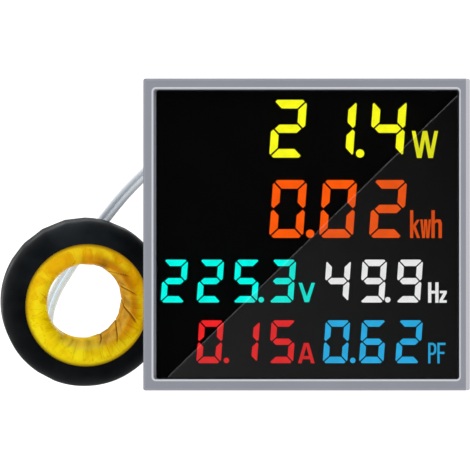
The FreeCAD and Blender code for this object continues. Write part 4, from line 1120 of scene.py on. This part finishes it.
table_half = 3.0
table_gap = 0.02 * MM
floor = flat_piece("table", level_square(table_half, solid_low.z - table_gap))
table = Finish("white_table", roughness=0.8)
table.set("Base Color", table.mottled(table.noise(30 * MM), (0.35, 0.35, 0.35, 1),
                                      (0.37, 0.37, 0.37, 1)))
table.set("Emission Color", (1, 1, 1, 1))
table.set("Emission Strength", 1.0)
dress(table, floor)

world = bpy.data.worlds.new("white_sky")
bpy.context.scene.world = world
world.use_nodes = True
sky = world.node_tree.nodes["Background"]
sky.inputs["Color"].default_value = (1.0, 1.0, 1.0, 1)
sky.inputs["Strength"].default_value = 1.0

lamp_place = Vector((0.75, 0.85, 0.55))
lamp_data = bpy.data.lights.new("upper_right_lamp", "AREA")
lamp_data.size = 0.5
lamp_data.energy = 1.6
lamp = placed("upper_right_lamp", lamp_data)
lamp.location = lamp_place
lamp.rotation_euler = (-lamp_place).to_track_quat("-Z", "Y").to_euler()

# %% [markdown]
# ## Cards seen in the window
#
# The window would mirror the sky and turn grey, so a large black card hangs over the camera,
# seen only in reflections. One pale corner card hangs in front of it: its mirror image is the
# faint triangle of sheen across the window. A thin paler strip draws the triangle's long edge.

# %% Cards seen in the window
card_height = 0.95
black_half = 1.6
black_z = pane_high.z + card_height + 20 * MM
strip_z = black_z - 15 * MM
strip_width = 0.35 * MM


def mirrored(x, y, z=pane_high.z + card_height):
    """The place at height z that a point of the window mirrors to the camera: as far beyond
    the point, from the camera's foot, as the card's height is to the camera's."""
    share = card_height / (camera_place.z - pane_high.z)
    return (x + (x - camera_place.x) * share, y + (y - camera_place.y) * share, z)


def glowing(name, tone):
    """A material that gives off an even light and mirrors nothing."""
    material = bpy.data.materials.new(name)
    material.use_nodes = True
    tree = material.node_tree
    tree.nodes.remove(tree.nodes["Principled BSDF"])
    shader = tree.nodes.new("ShaderNodeEmission")
    shader.inputs["Color"].default_value = tone
    tree.links.new(shader.outputs["Emission"], tree.nodes["Material Output"].inputs["Surface"])
    return material


def hung_card(name, corners, material):
    """A flat card that is seen only in reflections."""
    card = flat_piece(name, corners)
    card.data.materials.append(material)
    for kind in ("camera", "diffuse", "volume_scatter", "shadow"):
        setattr(card, "visible_" + kind, False)
    return card


hung_card("black_card", level_square(black_half, black_z)[::-1],
          glowing("black_card", (0.004, 0.004, 0.004, 1)))

# The sheen is faint at its top and stronger towards its left corner
sheen_tones = np.array((0.031, 0.103, 0.213))
sheen = glowing("pale_card", (1.0, 1.0, 1.0, 1))
tone = sheen.node_tree.nodes.new("ShaderNodeAttribute")
tone.attribute_name = "tone"
sheen.node_tree.links.new(tone.outputs["Fac"],
                          sheen.node_tree.nodes["Emission"].inputs["Strength"])
sheen_right = (sheen_top.x, sheen_left.y)
sheen_card = hung_card("sheen_card", [mirrored(*place) for place in
                                      (sheen_top, sheen_right, sheen_left)], sheen)
point_values(sheen_card, "tone", sheen_tones)

hung_card("sheen_edge", [
    mirrored(sheen_top.x, sheen_top.y, strip_z),
    mirrored(sheen_top.x - strip_width, sheen_top.y, strip_z),
    mirrored(sheen_left.x - strip_width, sheen_left.y, strip_z),
    mirrored(sheen_left.x, sheen_left.y, strip_z),
], glowing("pale_edge", (0.9, 0.9, 0.9, 1)))

# %% [markdown]
# ## Colour and finish
#
# The picture is shown with plain screen colours, so that a lit yellow stays yellow.

# %% Finish
bpy.context.scene.view_settings.view_transform = "Standard"
bpy.context.scene.view_settings.look = "None"
